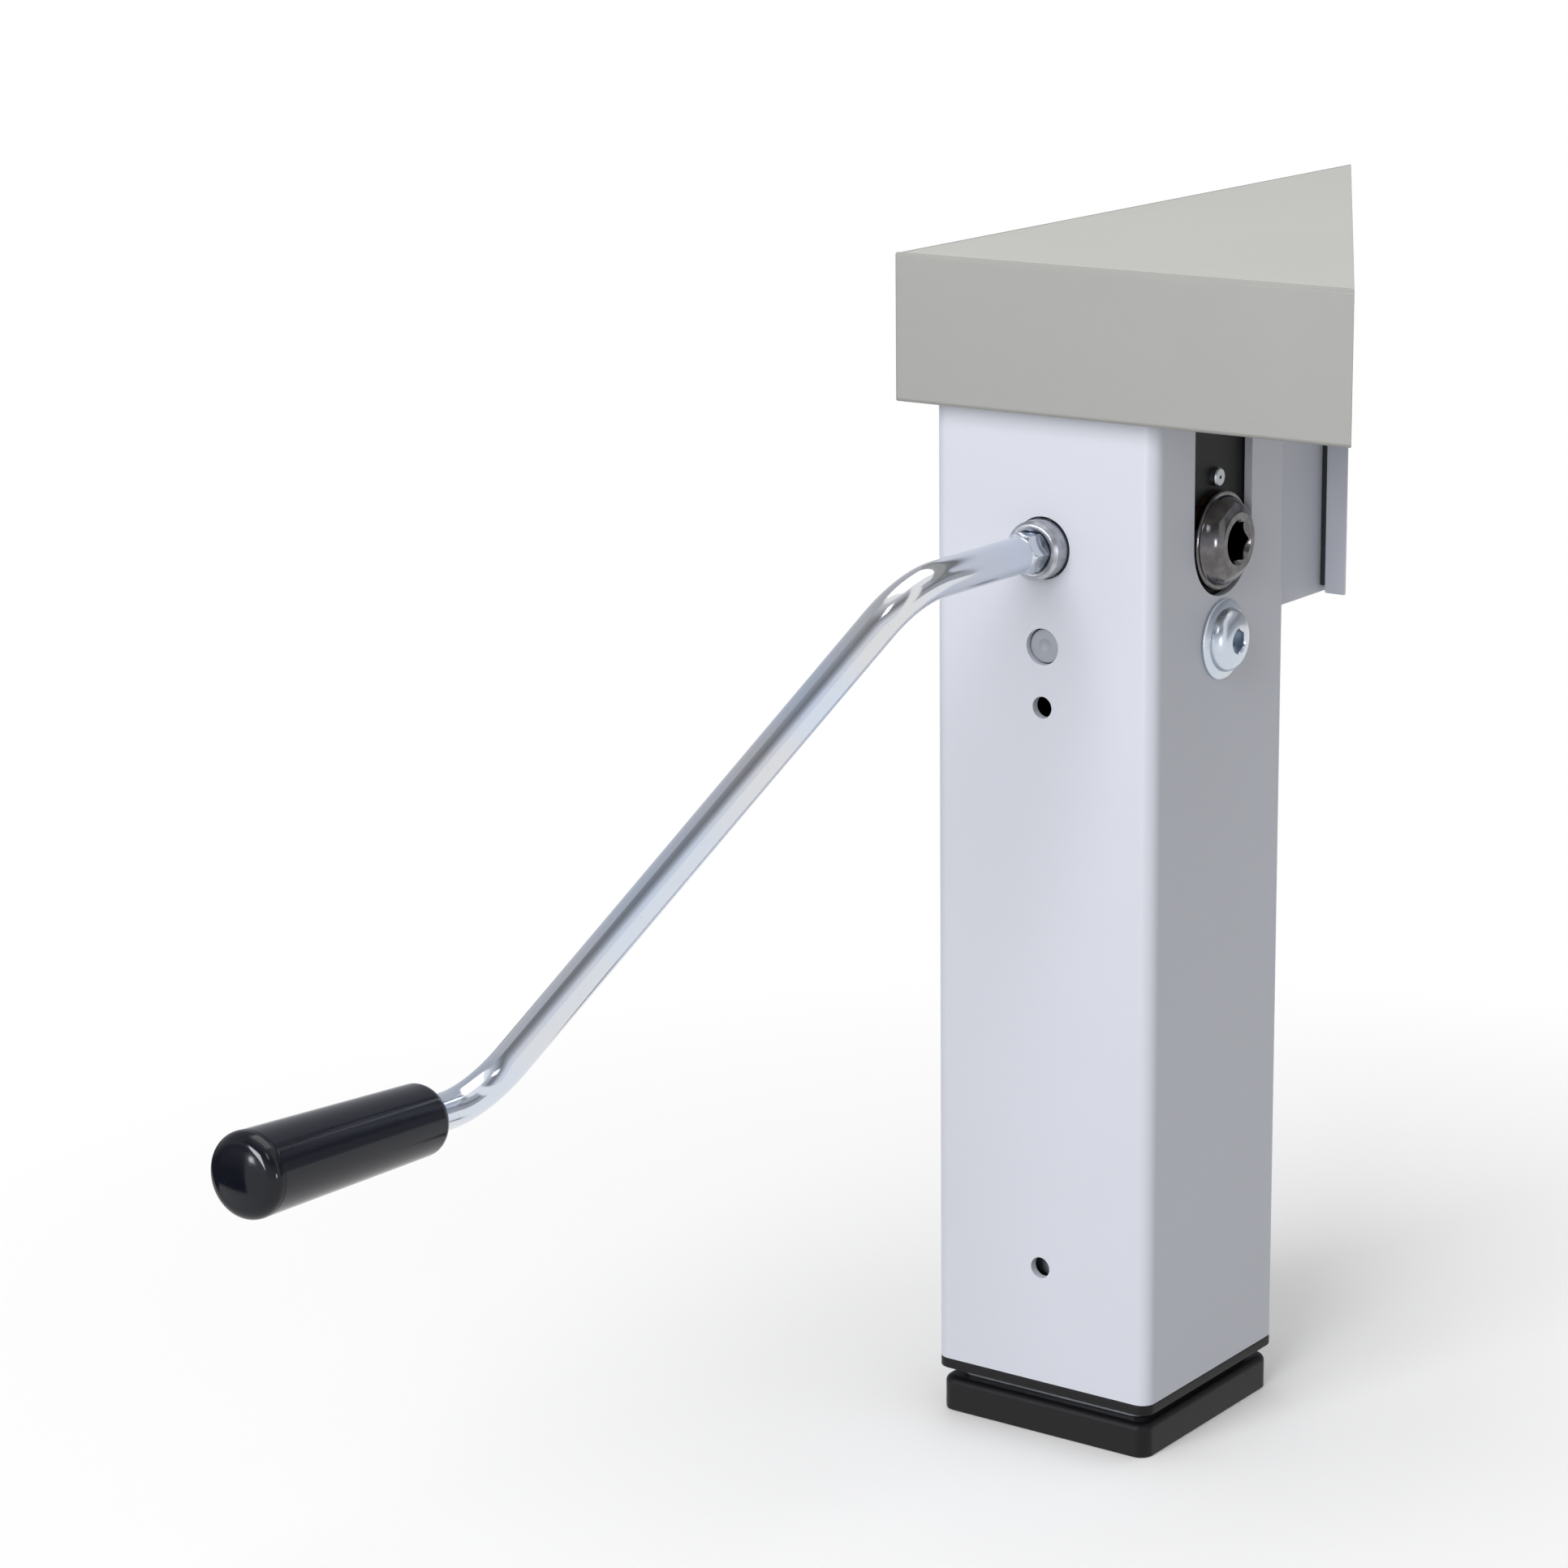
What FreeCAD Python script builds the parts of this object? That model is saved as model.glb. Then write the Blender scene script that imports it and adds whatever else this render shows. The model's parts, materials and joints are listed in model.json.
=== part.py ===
"""Corner of a height-adjustable workbench: worktop corner, telescopic leg and plug-in crank.

The crank turns a bevel gearbox in the head of the square leg.  The gearbox turns a spindle,
and the spindle lifts the outer leg and the worktop off the inner leg, which stands on the floor.

Frame: millimetres, +Z up, the origin on the floor in the middle of the leg.  The crank comes
out of the -Y face of the leg, and the drive for the other legs comes out of the +X face.
"""

import FreeCAD, Part
import math
import os

import Sketcher

Vector = FreeCAD.Vector
X_AXIS = Vector(1, 0, 0)
Y_AXIS = Vector(0, 1, 0)
Z_AXIS = Vector(0, 0, 1)

doc = FreeCAD.newDocument("CrankLiftLeg")
sheet = doc.addObject("Spreadsheet::Sheet", "Sizes")
sub_parts = []


# ---------------------------------------------------------------------------------------
# Sizes: a number together with the expression that keeps it tied to the spreadsheet
# ---------------------------------------------------------------------------------------
class Size:
    """A length or count, as its present value and as an expression on the spreadsheet."""

    def __init__(self, value, text):
        self.value = value
        self.text = text

    def __add__(self, other):
        other = as_size(other)
        return Size(self.value + other.value, f"({self.text} + {other.text})")

    def __sub__(self, other):
        other = as_size(other)
        return Size(self.value - other.value, f"({self.text} - {other.text})")

    def __mul__(self, other):
        other = as_size(other)
        return Size(self.value * other.value, f"({self.text} * {other.text})")

    def __truediv__(self, other):
        other = as_size(other)
        return Size(self.value / other.value, f"({self.text} / {other.text})")

    def __radd__(self, other):
        return as_size(other) + self

    def __rsub__(self, other):
        return as_size(other) - self

    def __rmul__(self, other):
        return as_size(other) * self

    def __neg__(self):
        return Size(-self.value, f"(0 - {self.text})")


def as_size(number):
    if isinstance(number, Size):
        return number
    return Size(float(number), repr(float(number)))


def root_of(size):
    return Size(math.sqrt(size.value), f"sqrt({size.text})")


def driving(name, value):
    """Writes one driving dimension into the spreadsheet and returns it."""
    row = driving.rows = driving.rows + 1
    sheet.set(f"A{row}", name)
    sheet.set(f"B{row}", str(value))
    sheet.setAlias(f"B{row}", name)
    return Size(float(value), f"Sizes.{name}")


driving.rows = 0

# Worktop corner
underside_height = driving("underside_height", 290)
worktop_thickness = driving("worktop_thickness", 40)
laminate_thickness = driving("laminate_thickness", 0.8)
edge_band_thickness = driving("edge_band_thickness", 2)
edge_band_round = driving("edge_band_round", 1.2)
worktop_overhang = driving("worktop_overhang", 7.5)
slant_run = driving("slant_run", 139)
slant_rise = driving("slant_rise", 250)

# Outer leg
leg_width = driving("leg_width", 70)
leg_wall = driving("leg_wall", 2.5)
leg_corner_radius = driving("leg_corner_radius", 4)
leg_floor_gap = driving("leg_floor_gap", 16)
leg_top_gap = driving("leg_top_gap", 1)
hub_depth = driving("hub_depth", 36.8)
input_hole_diameter = driving("input_hole_diameter", 17)
slot_width = driving("slot_width", 30)
fixing_drop = driving("fixing_drop", 27)
fixing_hole_diameter = driving("fixing_hole_diameter", 11)
dowel_hole_diameter = driving("dowel_hole_diameter", 10)
accessory_hole_diameter = driving("accessory_hole_diameter", 6)
upper_accessory_depth = driving("upper_accessory_depth", 80.5)
lower_accessory_depth = driving("lower_accessory_depth", 240.3)
dowel_recess = driving("dowel_recess", 1.5)

# Inner leg, its glides and its foot
glide_thickness = driving("glide_thickness", 2.5)
inner_leg_wall = driving("inner_leg_wall", 2.5)
inner_leg_radius = driving("inner_leg_radius", 3.5)
inner_leg_head_room = driving("inner_leg_head_room", 12)
lower_glide_length = driving("lower_glide_length", 30)
upper_glide_length = driving("upper_glide_length", 32)
glide_lip = driving("glide_lip", 3)
foot_inset = driving("foot_inset", 1)
foot_thickness = driving("foot_thickness", 10)
foot_edge_round = driving("foot_edge_round", 2)
foot_plug_height = driving("foot_plug_height", 20)
plastic_wall = driving("plastic_wall", 3)

# Spindle and nut
lift_stroke = driving("lift_stroke", 110)
spindle_diameter = driving("spindle_diameter", 16)
nut_plate_thickness = driving("nut_plate_thickness", 5)
nut_plate_drop = driving("nut_plate_drop", 11)
nut_flange_diameter = driving("nut_flange_diameter", 42)
nut_flange_thickness = driving("nut_flange_thickness", 8)
nut_barrel_diameter = driving("nut_barrel_diameter", 25)
nut_barrel_length = driving("nut_barrel_length", 24)
nut_screw_circle = driving("nut_screw_circle", 33)
stop_washer_thickness = driving("stop_washer_thickness", 3)

# Bevel gears
gear_module = driving("gear_module", 1.25)
pinion_teeth = driving("pinion_teeth", 16)
crown_teeth = driving("crown_teeth", 24)
face_width = driving("face_width", 5.5)
tooth_backlash = driving("tooth_backlash", 0.35)
tooth_depth = driving("tooth_depth", 1.1)
tooth_height = driving("tooth_height", 0.85)
crown_rim_thickness = driving("crown_rim_thickness", 2)
crown_hub_thickness = driving("crown_hub_thickness", 1)
pinion_collar_inset = driving("pinion_collar_inset", 1.4)
pinion_collar_thickness = driving("pinion_collar_thickness", 1.8)

# Gearbox
gearbox_corner_radius = driving("gearbox_corner_radius", 2)
gearbox_drop = driving("gearbox_drop", 41.2)
gear_chamber_margin = driving("gear_chamber_margin", 3)
shank_margin = driving("shank_margin", 1)
bush_wall = driving("bush_wall", 2)
bearing_diameter = driving("bearing_diameter", 28)
bearing_height = driving("bearing_height", 9)
roller_diameter = driving("roller_diameter", 4)
roller_count = driving("roller_count", 8)
spindle_bush_length = driving("spindle_bush_length", 7)
spindle_collar_thickness = driving("spindle_collar_thickness", 4)
washer_thickness = driving("washer_thickness", 1.2)
head_plate_thickness = driving("head_plate_thickness", 4)
gearbox_screw_inset = driving("gearbox_screw_inset", 7.2)

# Drive hubs and crank
drive_hex = driving("drive_hex", 10)
sleeve_hex = driving("sleeve_hex", 13.9)
sleeve_diameter = driving("sleeve_diameter", 16)
sleeve_stand_out = driving("sleeve_stand_out", 5.5)
cross_flange_diameter = driving("cross_flange_diameter", 27)
cross_flange_gap = driving("cross_flange_gap", 1.3)
cross_flange_thickness = driving("cross_flange_thickness", 1.6)
cross_stand_out = driving("cross_stand_out", 5)
hub_bevel = driving("hub_bevel", 0.8)
mouth_bevel = driving("mouth_bevel", 1.2)
socket_floor = driving("socket_floor", 2)
rod_diameter = driving("rod_diameter", 10)
tip_stand_out = driving("tip_stand_out", 7)
crank_shaft_length = driving("crank_shaft_length", 62.5)
crank_offset = driving("crank_offset", 90)
crank_radius = driving("crank_radius", 146)
crank_hang_angle = driving("crank_hang_angle", 30)
bend_radius = driving("bend_radius", 22)
shank_tilt = driving("shank_tilt", 4.9)
shank_length = driving("shank_length", 21.3)
grip_length = driving("grip_length", 72.3)
grip_root_diameter = driving("grip_root_diameter", 19)
grip_end_diameter = driving("grip_end_diameter", 22)
grip_bevel = driving("grip_bevel", 2.5)
grip_cap_length = driving("grip_cap_length", 5)
grip_cap_round = driving("grip_cap_round", 3)
grip_cap_crown = driving("grip_cap_crown", 0.8)
grip_cap_plug = driving("grip_cap_plug", 4)
stem_diameter = driving("stem_diameter", 8)
clip_setback = driving("clip_setback", 8)
clip_thickness = driving("clip_thickness", 1.5)
clip_width = driving("clip_width", 3)

# Rails
rail_height = driving("rail_height", 61.5)
rail_width = driving("rail_width", 40)
rail_wall = driving("rail_wall", 2)
rail_inset = driving("rail_inset", 3)
long_rail_setback = driving("long_rail_setback", 23)
long_rail_reach = driving("long_rail_reach", 6.822)
joint_plate_thickness = driving("joint_plate_thickness", 1.8)
joint_plate_inset = driving("joint_plate_inset", 0.8)
joint_plate_margin = driving("joint_plate_margin", 2)
access_hole_diameter = driving("access_hole_diameter", 14)

# Fasteners
flange_screw_diameter = driving("flange_screw_diameter", 10)
flange_screw_flange = driving("flange_screw_flange", 21.9)
flange_screw_tip_gap = driving("flange_screw_tip_gap", 3.5)
flange_screw_head = driving("flange_screw_head", 5.5)
flange_screw_socket = driving("flange_screw_socket", 6)
gearbox_screw_diameter = driving("gearbox_screw_diameter", 5)
wood_screw_diameter = driving("wood_screw_diameter", 4.5)
wood_screw_length = driving("wood_screw_length", 30)
side_screw_diameter = driving("side_screw_diameter", 3)
side_screw_length = driving("side_screw_length", 7)
side_screw_rise = driving("side_screw_rise", 4)
end_screw_diameter = driving("end_screw_diameter", 6)
end_screw_length = driving("end_screw_length", 12)

# Clearances
press_gap = driving("press_gap", 0.02)
running_gap = driving("running_gap", 0.08)
glide_gap = driving("glide_gap", 0.3)
free_gap = driving("free_gap", 0.5)

doc.recompute()

# How far a cutting shape runs past the face that it opens
OVERCUT = 1

# Places worked out from the sizes above
half_leg = leg_width / 2
leg_inside = half_leg - leg_wall
hub_height = underside_height - hub_depth
fixing_height = hub_height - fixing_drop
worktop_left = -(half_leg + worktop_overhang)
worktop_front = -(half_leg + worktop_overhang)
rail_right = half_leg - rail_inset
rail_left = rail_right - rail_width
rail_face = half_leg + long_rail_setback
plate_right = rail_right + joint_plate_thickness
rail_tip = plate_right + long_rail_reach
worktop_right = rail_tip + (rail_face - worktop_front) * slant_run / slant_rise
worktop_back = worktop_front + (worktop_right - worktop_left) * slant_rise / slant_run
worktop_top = underside_height + worktop_thickness
gearbox_bottom = hub_height - gearbox_drop
gearbox_top = underside_height - head_plate_thickness
half_gearbox = leg_inside - glide_gap
gearbox_screw_spacing = 2 * (half_gearbox - gearbox_screw_inset)
inner_leg_width = 2 * (leg_inside - glide_thickness)
inner_leg_top = gearbox_bottom - inner_leg_head_room
nut_plate_top = inner_leg_top - nut_plate_drop
nut_barrel_bottom = nut_plate_top - nut_plate_thickness - nut_barrel_length
dowel_radius = dowel_hole_diameter / 2 - glide_gap
pinion_pitch_radius = gear_module * pinion_teeth / 2
crown_pitch_radius = gear_module * crown_teeth / 2
gear_chamber_radius = crown_pitch_radius + gear_chamber_margin
pinion_shank_radius = pinion_pitch_radius + shank_margin
fixing_hole_reach = gear_chamber_radius + free_gap


def cut_line_y(x):
    """Where the slanting end cut of the worktop and the rails passes a given x."""
    return worktop_front + (worktop_right - x) * slant_rise / slant_run


def cut_line_x(y):
    """Where the slanting end cut of the worktop and the rails passes a given y."""
    return worktop_right - (y - worktop_front) * slant_run / slant_rise


# ---------------------------------------------------------------------------------------
# Modelling helpers
# ---------------------------------------------------------------------------------------
def bind(thing, **sizes):
    """Ties properties of an object to the spreadsheet; x, y and z mean its place."""
    for name, size in sizes.items():
        path = f"Placement.Base.{name}" if name in ("x", "y", "z") else name
        thing.setExpression(path, as_size(size).text)
    return thing


def keep(label, thing):
    """Names a finished sub-part and puts it on the list that is written out."""
    thing.Label = label
    sub_parts.append((label, thing))
    return thing


def turned(thing, axis):
    """Turns a primitive whose length runs along +Z so that it runs along another axis."""
    thing.Placement = FreeCAD.Placement(Vector(), FreeCAD.Rotation(Z_AXIS, axis))
    return thing


def cylinder(radius, start, length, axis=Z_AXIS):
    """A cylinder from a start point, running the given length along an axis."""
    bar = turned(doc.addObject("Part::Cylinder", "cylinder"), axis)
    bind(bar, Radius=radius, Height=length)
    return bind(bar, x=start[0], y=start[1], z=start[2])


def hexagon(across_flats, start, length, axis=Z_AXIS):
    """A six-sided bar, sized across its flats."""
    bar = turned(doc.addObject("Part::Prism", "hexagon"), axis)
    bar.Polygon = 6
    bind(bar, Circumradius=across_flats / root_of(as_size(3)), Height=length)
    return bind(bar, x=start[0], y=start[1], z=start[2])


def joined(*shapes):
    fusion = doc.addObject("Part::MultiFuse", "joined")
    fusion.Shapes = list(shapes)
    fusion.Refine = True
    return fusion


def common(first, second):
    meeting = doc.addObject("Part::MultiCommon", "common")
    meeting.Shapes = [first, second]
    return meeting


def without(base, *tools):
    """The base with every tool cut out of it."""
    cut = doc.addObject("Part::Cut", "cut")
    cut.Base = base
    cut.Tool = tools[0] if len(tools) == 1 else joined(*tools)
    cut.Refine = True
    return cut


def grouped(*shapes):
    """Identical fasteners as one sub-part of separate solids."""
    group = doc.addObject("Part::Compound", "group")
    group.Links = list(shapes)
    return group


def fix_point(sketch, edge, end, point):
    """Ties one point of an edge, a pair of sizes, to the spreadsheet."""
    for kind, size in zip(("DistanceX", "DistanceY"), point):
        rule = sketch.addConstraint(Sketcher.Constraint(kind, edge, end, size.value))
        sketch.setExpression(f"Constraints[{rule}]", size.text)


def draw_edge(sketch, first, last, bulge=None):
    """Draws a line or an arc between two points and returns its number and its two ends.

    bulge is the radius of an arc; a positive one bulges to the right of the way of travel.
    """
    number = sketch.GeometryCount
    start = Vector(first[0].value, first[1].value, 0)
    end = Vector(last[0].value, last[1].value, 0)
    if bulge is None:
        sketch.addGeometry(Part.LineSegment(start, end))
        return number, 1, 2
    # the centre lies on the line that halves the chord at a right angle
    chord_x, chord_y = last[0] - first[0], last[1] - first[1]
    squared = chord_x * chord_x + chord_y * chord_y
    reach = root_of(bulge * bulge / squared - 0.25)
    if bulge.value < 0:
        reach = -reach
    centre = (
        (first[0] + last[0]) / 2 - chord_y * reach,
        (first[1] + last[1]) / 2 + chord_x * reach,
    )
    middle = Vector(centre[0].value, centre[1].value, 0)
    circle = Part.Circle(middle, Z_AXIS, abs(bulge.value))
    ends = (start, end) if bulge.value > 0 else (end, start)
    angles = [math.atan2(point.y - middle.y, point.x - middle.x) for point in ends]
    sketch.addGeometry(Part.ArcOfCircle(circle, angles[0], angles[1]))
    # with both ends tied, one coordinate of the centre settles the arc
    across = abs(chord_y.value) > abs(chord_x.value)
    kind, size = ("DistanceX", centre[0]) if across else ("DistanceY", centre[1])
    rule = sketch.addConstraint(Sketcher.Constraint(kind, number, 3, size.value))
    sketch.setExpression(f"Constraints[{rule}]", size.text)
    return (number, 1, 2) if bulge.value > 0 else (number, 2, 1)


def chain(sketch, corners, bulges, closed):
    """Draws lines and arcs from corner to corner and ties every corner to the spreadsheet."""
    corners = [(as_size(x), as_size(y)) for x, y in corners]
    bulges = {corner: as_size(radius) for corner, radius in (bulges or {}).items()}
    count = len(corners)
    edges = []
    for number in range(count if closed else count - 1):
        after = corners[(number + 1) % count]
        edges.append(draw_edge(sketch, corners[number], after, bulges.get(number)))
    for number, (edge, start, end) in enumerate(edges):
        fix_point(sketch, edge, start, corners[number])
        following = edges[(number + 1) % len(edges)]
        if closed or number + 1 < len(edges):
            joint = Sketcher.Constraint("Coincident", edge, end, following[0], following[1])
            sketch.addConstraint(joint)
        else:
            fix_point(sketch, edge, end, corners[-1])
    return sketch


def outline(sketch, corners, bulges=None):
    """A closed outline; bulges gives the radius of the arc that leaves a corner."""
    return chain(sketch, corners, bulges, closed=True)


def ring(sketch, radius, centre=(0, 0)):
    """Draws a circle whose radius and centre are tied to the spreadsheet."""
    radius = as_size(radius)
    x, y = as_size(centre[0]), as_size(centre[1])
    number = sketch.GeometryCount
    sketch.addGeometry(Part.Circle(Vector(x.value, y.value, 0), Z_AXIS, radius.value))
    rule = sketch.addConstraint(Sketcher.Constraint("Radius", number, radius.value))
    sketch.setExpression(f"Constraints[{rule}]", radius.text)
    fix_point(sketch, number, 3, (x, y))
    return sketch


def turned_profile(corners, bulges=None):
    """A solid of revolution about Z, from its half outline as (radius, height) corners."""
    sketch = doc.addObject("Sketcher::SketchObject", "profile")
    outline(sketch, corners, bulges)
    # the sketch's own upright direction becomes +Z
    sketch.Placement = FreeCAD.Placement(Vector(), FreeCAD.Rotation(X_AXIS, 90))
    turning = doc.addObject("Part::Revolution", "turned")
    turning.Source = sketch
    turning.Axis = Z_AXIS
    turning.Angle = 360
    turning.Solid = True
    return turning


def placed(thing, local_x, local_z, z=hub_height):
    """Carries a shape made about +Z to an axis through the centre of the gearbox."""
    local_y = local_z.cross(local_x)
    matrix = FreeCAD.Matrix(
        local_x.x, local_y.x, local_z.x, 0,
        local_x.y, local_y.y, local_z.y, 0,
        local_x.z, local_y.z, local_z.z, 0,
        0, 0, 0, 1,
    )
    thing.Placement = FreeCAD.Placement(Vector(), FreeCAD.Placement(matrix).Rotation)
    return bind(thing, z=z)


def new_body(label):
    body = doc.addObject("PartDesign::Body", label)
    return keep(label, body)


def origin_plane(body, role):
    return [item for item in body.Origin.OriginFeatures if item.Role == role][0]


def sketch_in(body, role, offset=0):
    """A sketch on one of the body's origin planes, shifted along that plane's normal."""
    sketch = body.newObject("Sketcher::SketchObject", "sketch")
    sketch.AttachmentSupport = [(origin_plane(body, role), "")]
    sketch.MapMode = "FlatFace"
    sketch.setExpression("AttachmentOffset.Base.z", as_size(offset).text)
    return sketch


def pad(body, sketch, length):
    feature = body.newObject("PartDesign::Pad", "pad")
    feature.Profile = sketch
    feature.setExpression("Length", as_size(length).text)
    doc.recompute()
    return feature


def pocket(body, sketch, depth, reverse=False):
    """Cuts a sketch into the body and checks that material really went."""
    before = body.Shape.Volume
    feature = body.newObject("PartDesign::Pocket", "pocket")
    feature.Profile = sketch
    feature.Reversed = reverse
    feature.setExpression("Length", as_size(depth).text)
    doc.recompute()
    if body.Shape.Volume >= before - 1e-6:
        raise RuntimeError(f"a pocket of {body.Label} cut nothing")
    return feature


def round_edges(body, radius, wanted):
    """Fillets the edges of the body's last feature for which wanted(edge) is true."""
    base = body.Tip
    names = [f"Edge{n}" for n, edge in enumerate(base.Shape.Edges, 1) if wanted(edge)]
    feature = body.newObject("PartDesign::Fillet", "fillet")
    feature.Base = (base, names)
    feature.setExpression("Radius", as_size(radius).text)
    doc.recompute()
    return feature


def is_upright(edge):
    box = edge.BoundBox
    return box.ZLength > 1e-3 and box.XLength < 1e-3 and box.YLength < 1e-3


def at(value, size):
    return abs(value - size.value) < 1e-3


def square(sketch, width):
    half = width / 2
    return outline(sketch, [(-half, -half), (half, -half), (half, half), (-half, half)])


def square_tube(body, width, wall, radius, low, high):
    """A square tube with rounded corners: a padded square, hollowed right through."""
    pad(body, square(sketch_in(body, "XY_Plane", low), width), high - low)
    round_edges(body, radius, is_upright)
    inside = square(sketch_in(body, "XY_Plane", high), width - 2 * wall)
    pocket(body, inside, high - low)
    inner_half = width / 2 - wall
    if radius.value > wall.value:
        round_edges(
            body,
            radius - wall,
            lambda edge: is_upright(edge) and at(abs(edge.BoundBox.XMin), inner_half),
        )
    return body


# ---------------------------------------------------------------------------------------
# Fasteners
# ---------------------------------------------------------------------------------------
def flange_button_screw(local_x, local_z):
    """A button-head screw with a flange and a hexagon socket; its flange bears on the leg."""
    flange_radius = flange_screw_flange / 2
    shank_radius = flange_screw_diameter / 2
    crown_radius = shank_radius * 0.7
    dome_radius = flange_radius * 0.8
    rim = flange_screw_head / 4
    top = half_leg + flange_screw_head
    tip = fixing_hole_reach + flange_screw_tip_gap
    corners = [
        (0, tip),
        (shank_radius, tip),
        (shank_radius, half_leg),
        (flange_radius, half_leg),
        (flange_radius, half_leg + rim / 2),
        (dome_radius, half_leg + rim),
        (crown_radius, top),
        (0, top),
    ]
    screw = turned_profile(corners, {5: flange_screw_diameter})
    socket = hexagon(flange_screw_socket, (0, 0, half_leg + rim), flange_screw_head)
    return placed(without(screw, socket), local_x, local_z, fixing_height)


def round_head_screw(diameter, length, head_ratio=1.7, height_ratio=0.9):
    """A cylinder-head screw about Z: its head above z = 0 and its shank below."""
    radius = diameter / 2
    return turned_profile([
        (0, -length),
        (radius, -length),
        (radius, 0),
        (radius * head_ratio, 0),
        (radius * head_ratio, diameter * height_ratio),
        (0, diameter * height_ratio),
    ])


def countersunk_screw(diameter, length):
    """A wood screw about Z: a flat head whose face lies at z = 0, the shank above it."""
    radius = diameter / 2
    corners = [
        (0, 0),
        (radius * 2, 0),
        (radius, radius),
        (radius, length - diameter),
        (0, length),
    ]
    return turned_profile(corners)


def copy_at(thing, x, y, z, turn_over=False):
    """One more placed copy of a fastener, for a group."""
    copy = doc.addObject("Part::Compound", "copy")
    copy.Links = [thing]
    if turn_over:
        copy.Placement = FreeCAD.Placement(Vector(), FreeCAD.Rotation(X_AXIS, 180))
    return bind(copy, x=x, y=y, z=z)


def four_places(spacing):
    half = spacing / 2
    return [(x * half, y * half) for x in (-1, 1) for y in (-1, 1)]


worktop_screw_places = [
    (as_size(0), gearbox_screw_spacing / 2),
    (as_size(0), -gearbox_screw_spacing / 2),
    (gearbox_screw_spacing / 2, as_size(0)),
    (-gearbox_screw_spacing / 2, as_size(0)),
]
rail_middle = rail_right - rail_width / 2
rail_screw_place = (rail_middle, (half_leg + cut_line_y(rail_middle)) / 2)


# ---------------------------------------------------------------------------------------
# Worktop corner: chipboard core, laminate on both faces, plastic bands on two edges
# ---------------------------------------------------------------------------------------
def slanting_panel(label, low, high):
    """A layer of the worktop between two heights, inside the edge bands."""
    body = new_body(label)
    left = worktop_left + edge_band_thickness
    front = worktop_front + edge_band_thickness
    corners = [(left, front), (cut_line_x(front), front), (left, cut_line_y(left))]
    pad(body, outline(sketch_in(body, "XY_Plane", low), corners), high - low)
    return body


def drill_for_screws(body, top, depth):
    """Holes for the wood screws that come up from the head plate and from the rail."""
    sketch = sketch_in(body, "XY_Plane", top)
    for place in worktop_screw_places + [rail_screw_place]:
        ring(sketch, wood_screw_diameter / 2 + press_gap, place)
    pocket(body, sketch, depth)


def make_worktop():
    core_bottom = underside_height + laminate_thickness
    core_top = worktop_top - laminate_thickness
    core = slanting_panel("worktop_core", core_bottom, core_top)
    # the screws end inside the core; the one through the rail reaches furthest
    screw_reach = wood_screw_length - rail_wall + free_gap
    drill_for_screws(core, underside_height + screw_reach, screw_reach)
    backing = slanting_panel("worktop_backing", underside_height, core_bottom)
    drill_for_screws(backing, core_bottom, laminate_thickness)
    slanting_panel("worktop_laminate", core_top, worktop_top)

    front_band = new_body("edge_band_front")
    inner_y = worktop_front + edge_band_thickness
    corners = [
        (worktop_left, worktop_front),
        (worktop_right, worktop_front),
        (cut_line_x(inner_y), inner_y),
        (worktop_left, inner_y),
    ]
    sketch = outline(sketch_in(front_band, "XY_Plane", underside_height), corners)
    pad(front_band, sketch, worktop_thickness)
    round_edges(
        front_band,
        edge_band_round,
        lambda edge: at(edge.BoundBox.YMax, worktop_front)
        and at(edge.BoundBox.XMin, worktop_left),
    )

    left_band = new_body("edge_band_left")
    inner_x = worktop_left + edge_band_thickness
    corners = [
        (worktop_left, inner_y),
        (inner_x, inner_y),
        (inner_x, cut_line_y(inner_x)),
        (worktop_left, worktop_back),
    ]
    sketch = outline(sketch_in(left_band, "XY_Plane", underside_height), corners)
    pad(left_band, sketch, worktop_thickness)
    round_edges(
        left_band,
        edge_band_round,
        lambda edge: at(edge.BoundBox.XMax, worktop_left) and not is_upright(edge),
    )


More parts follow.
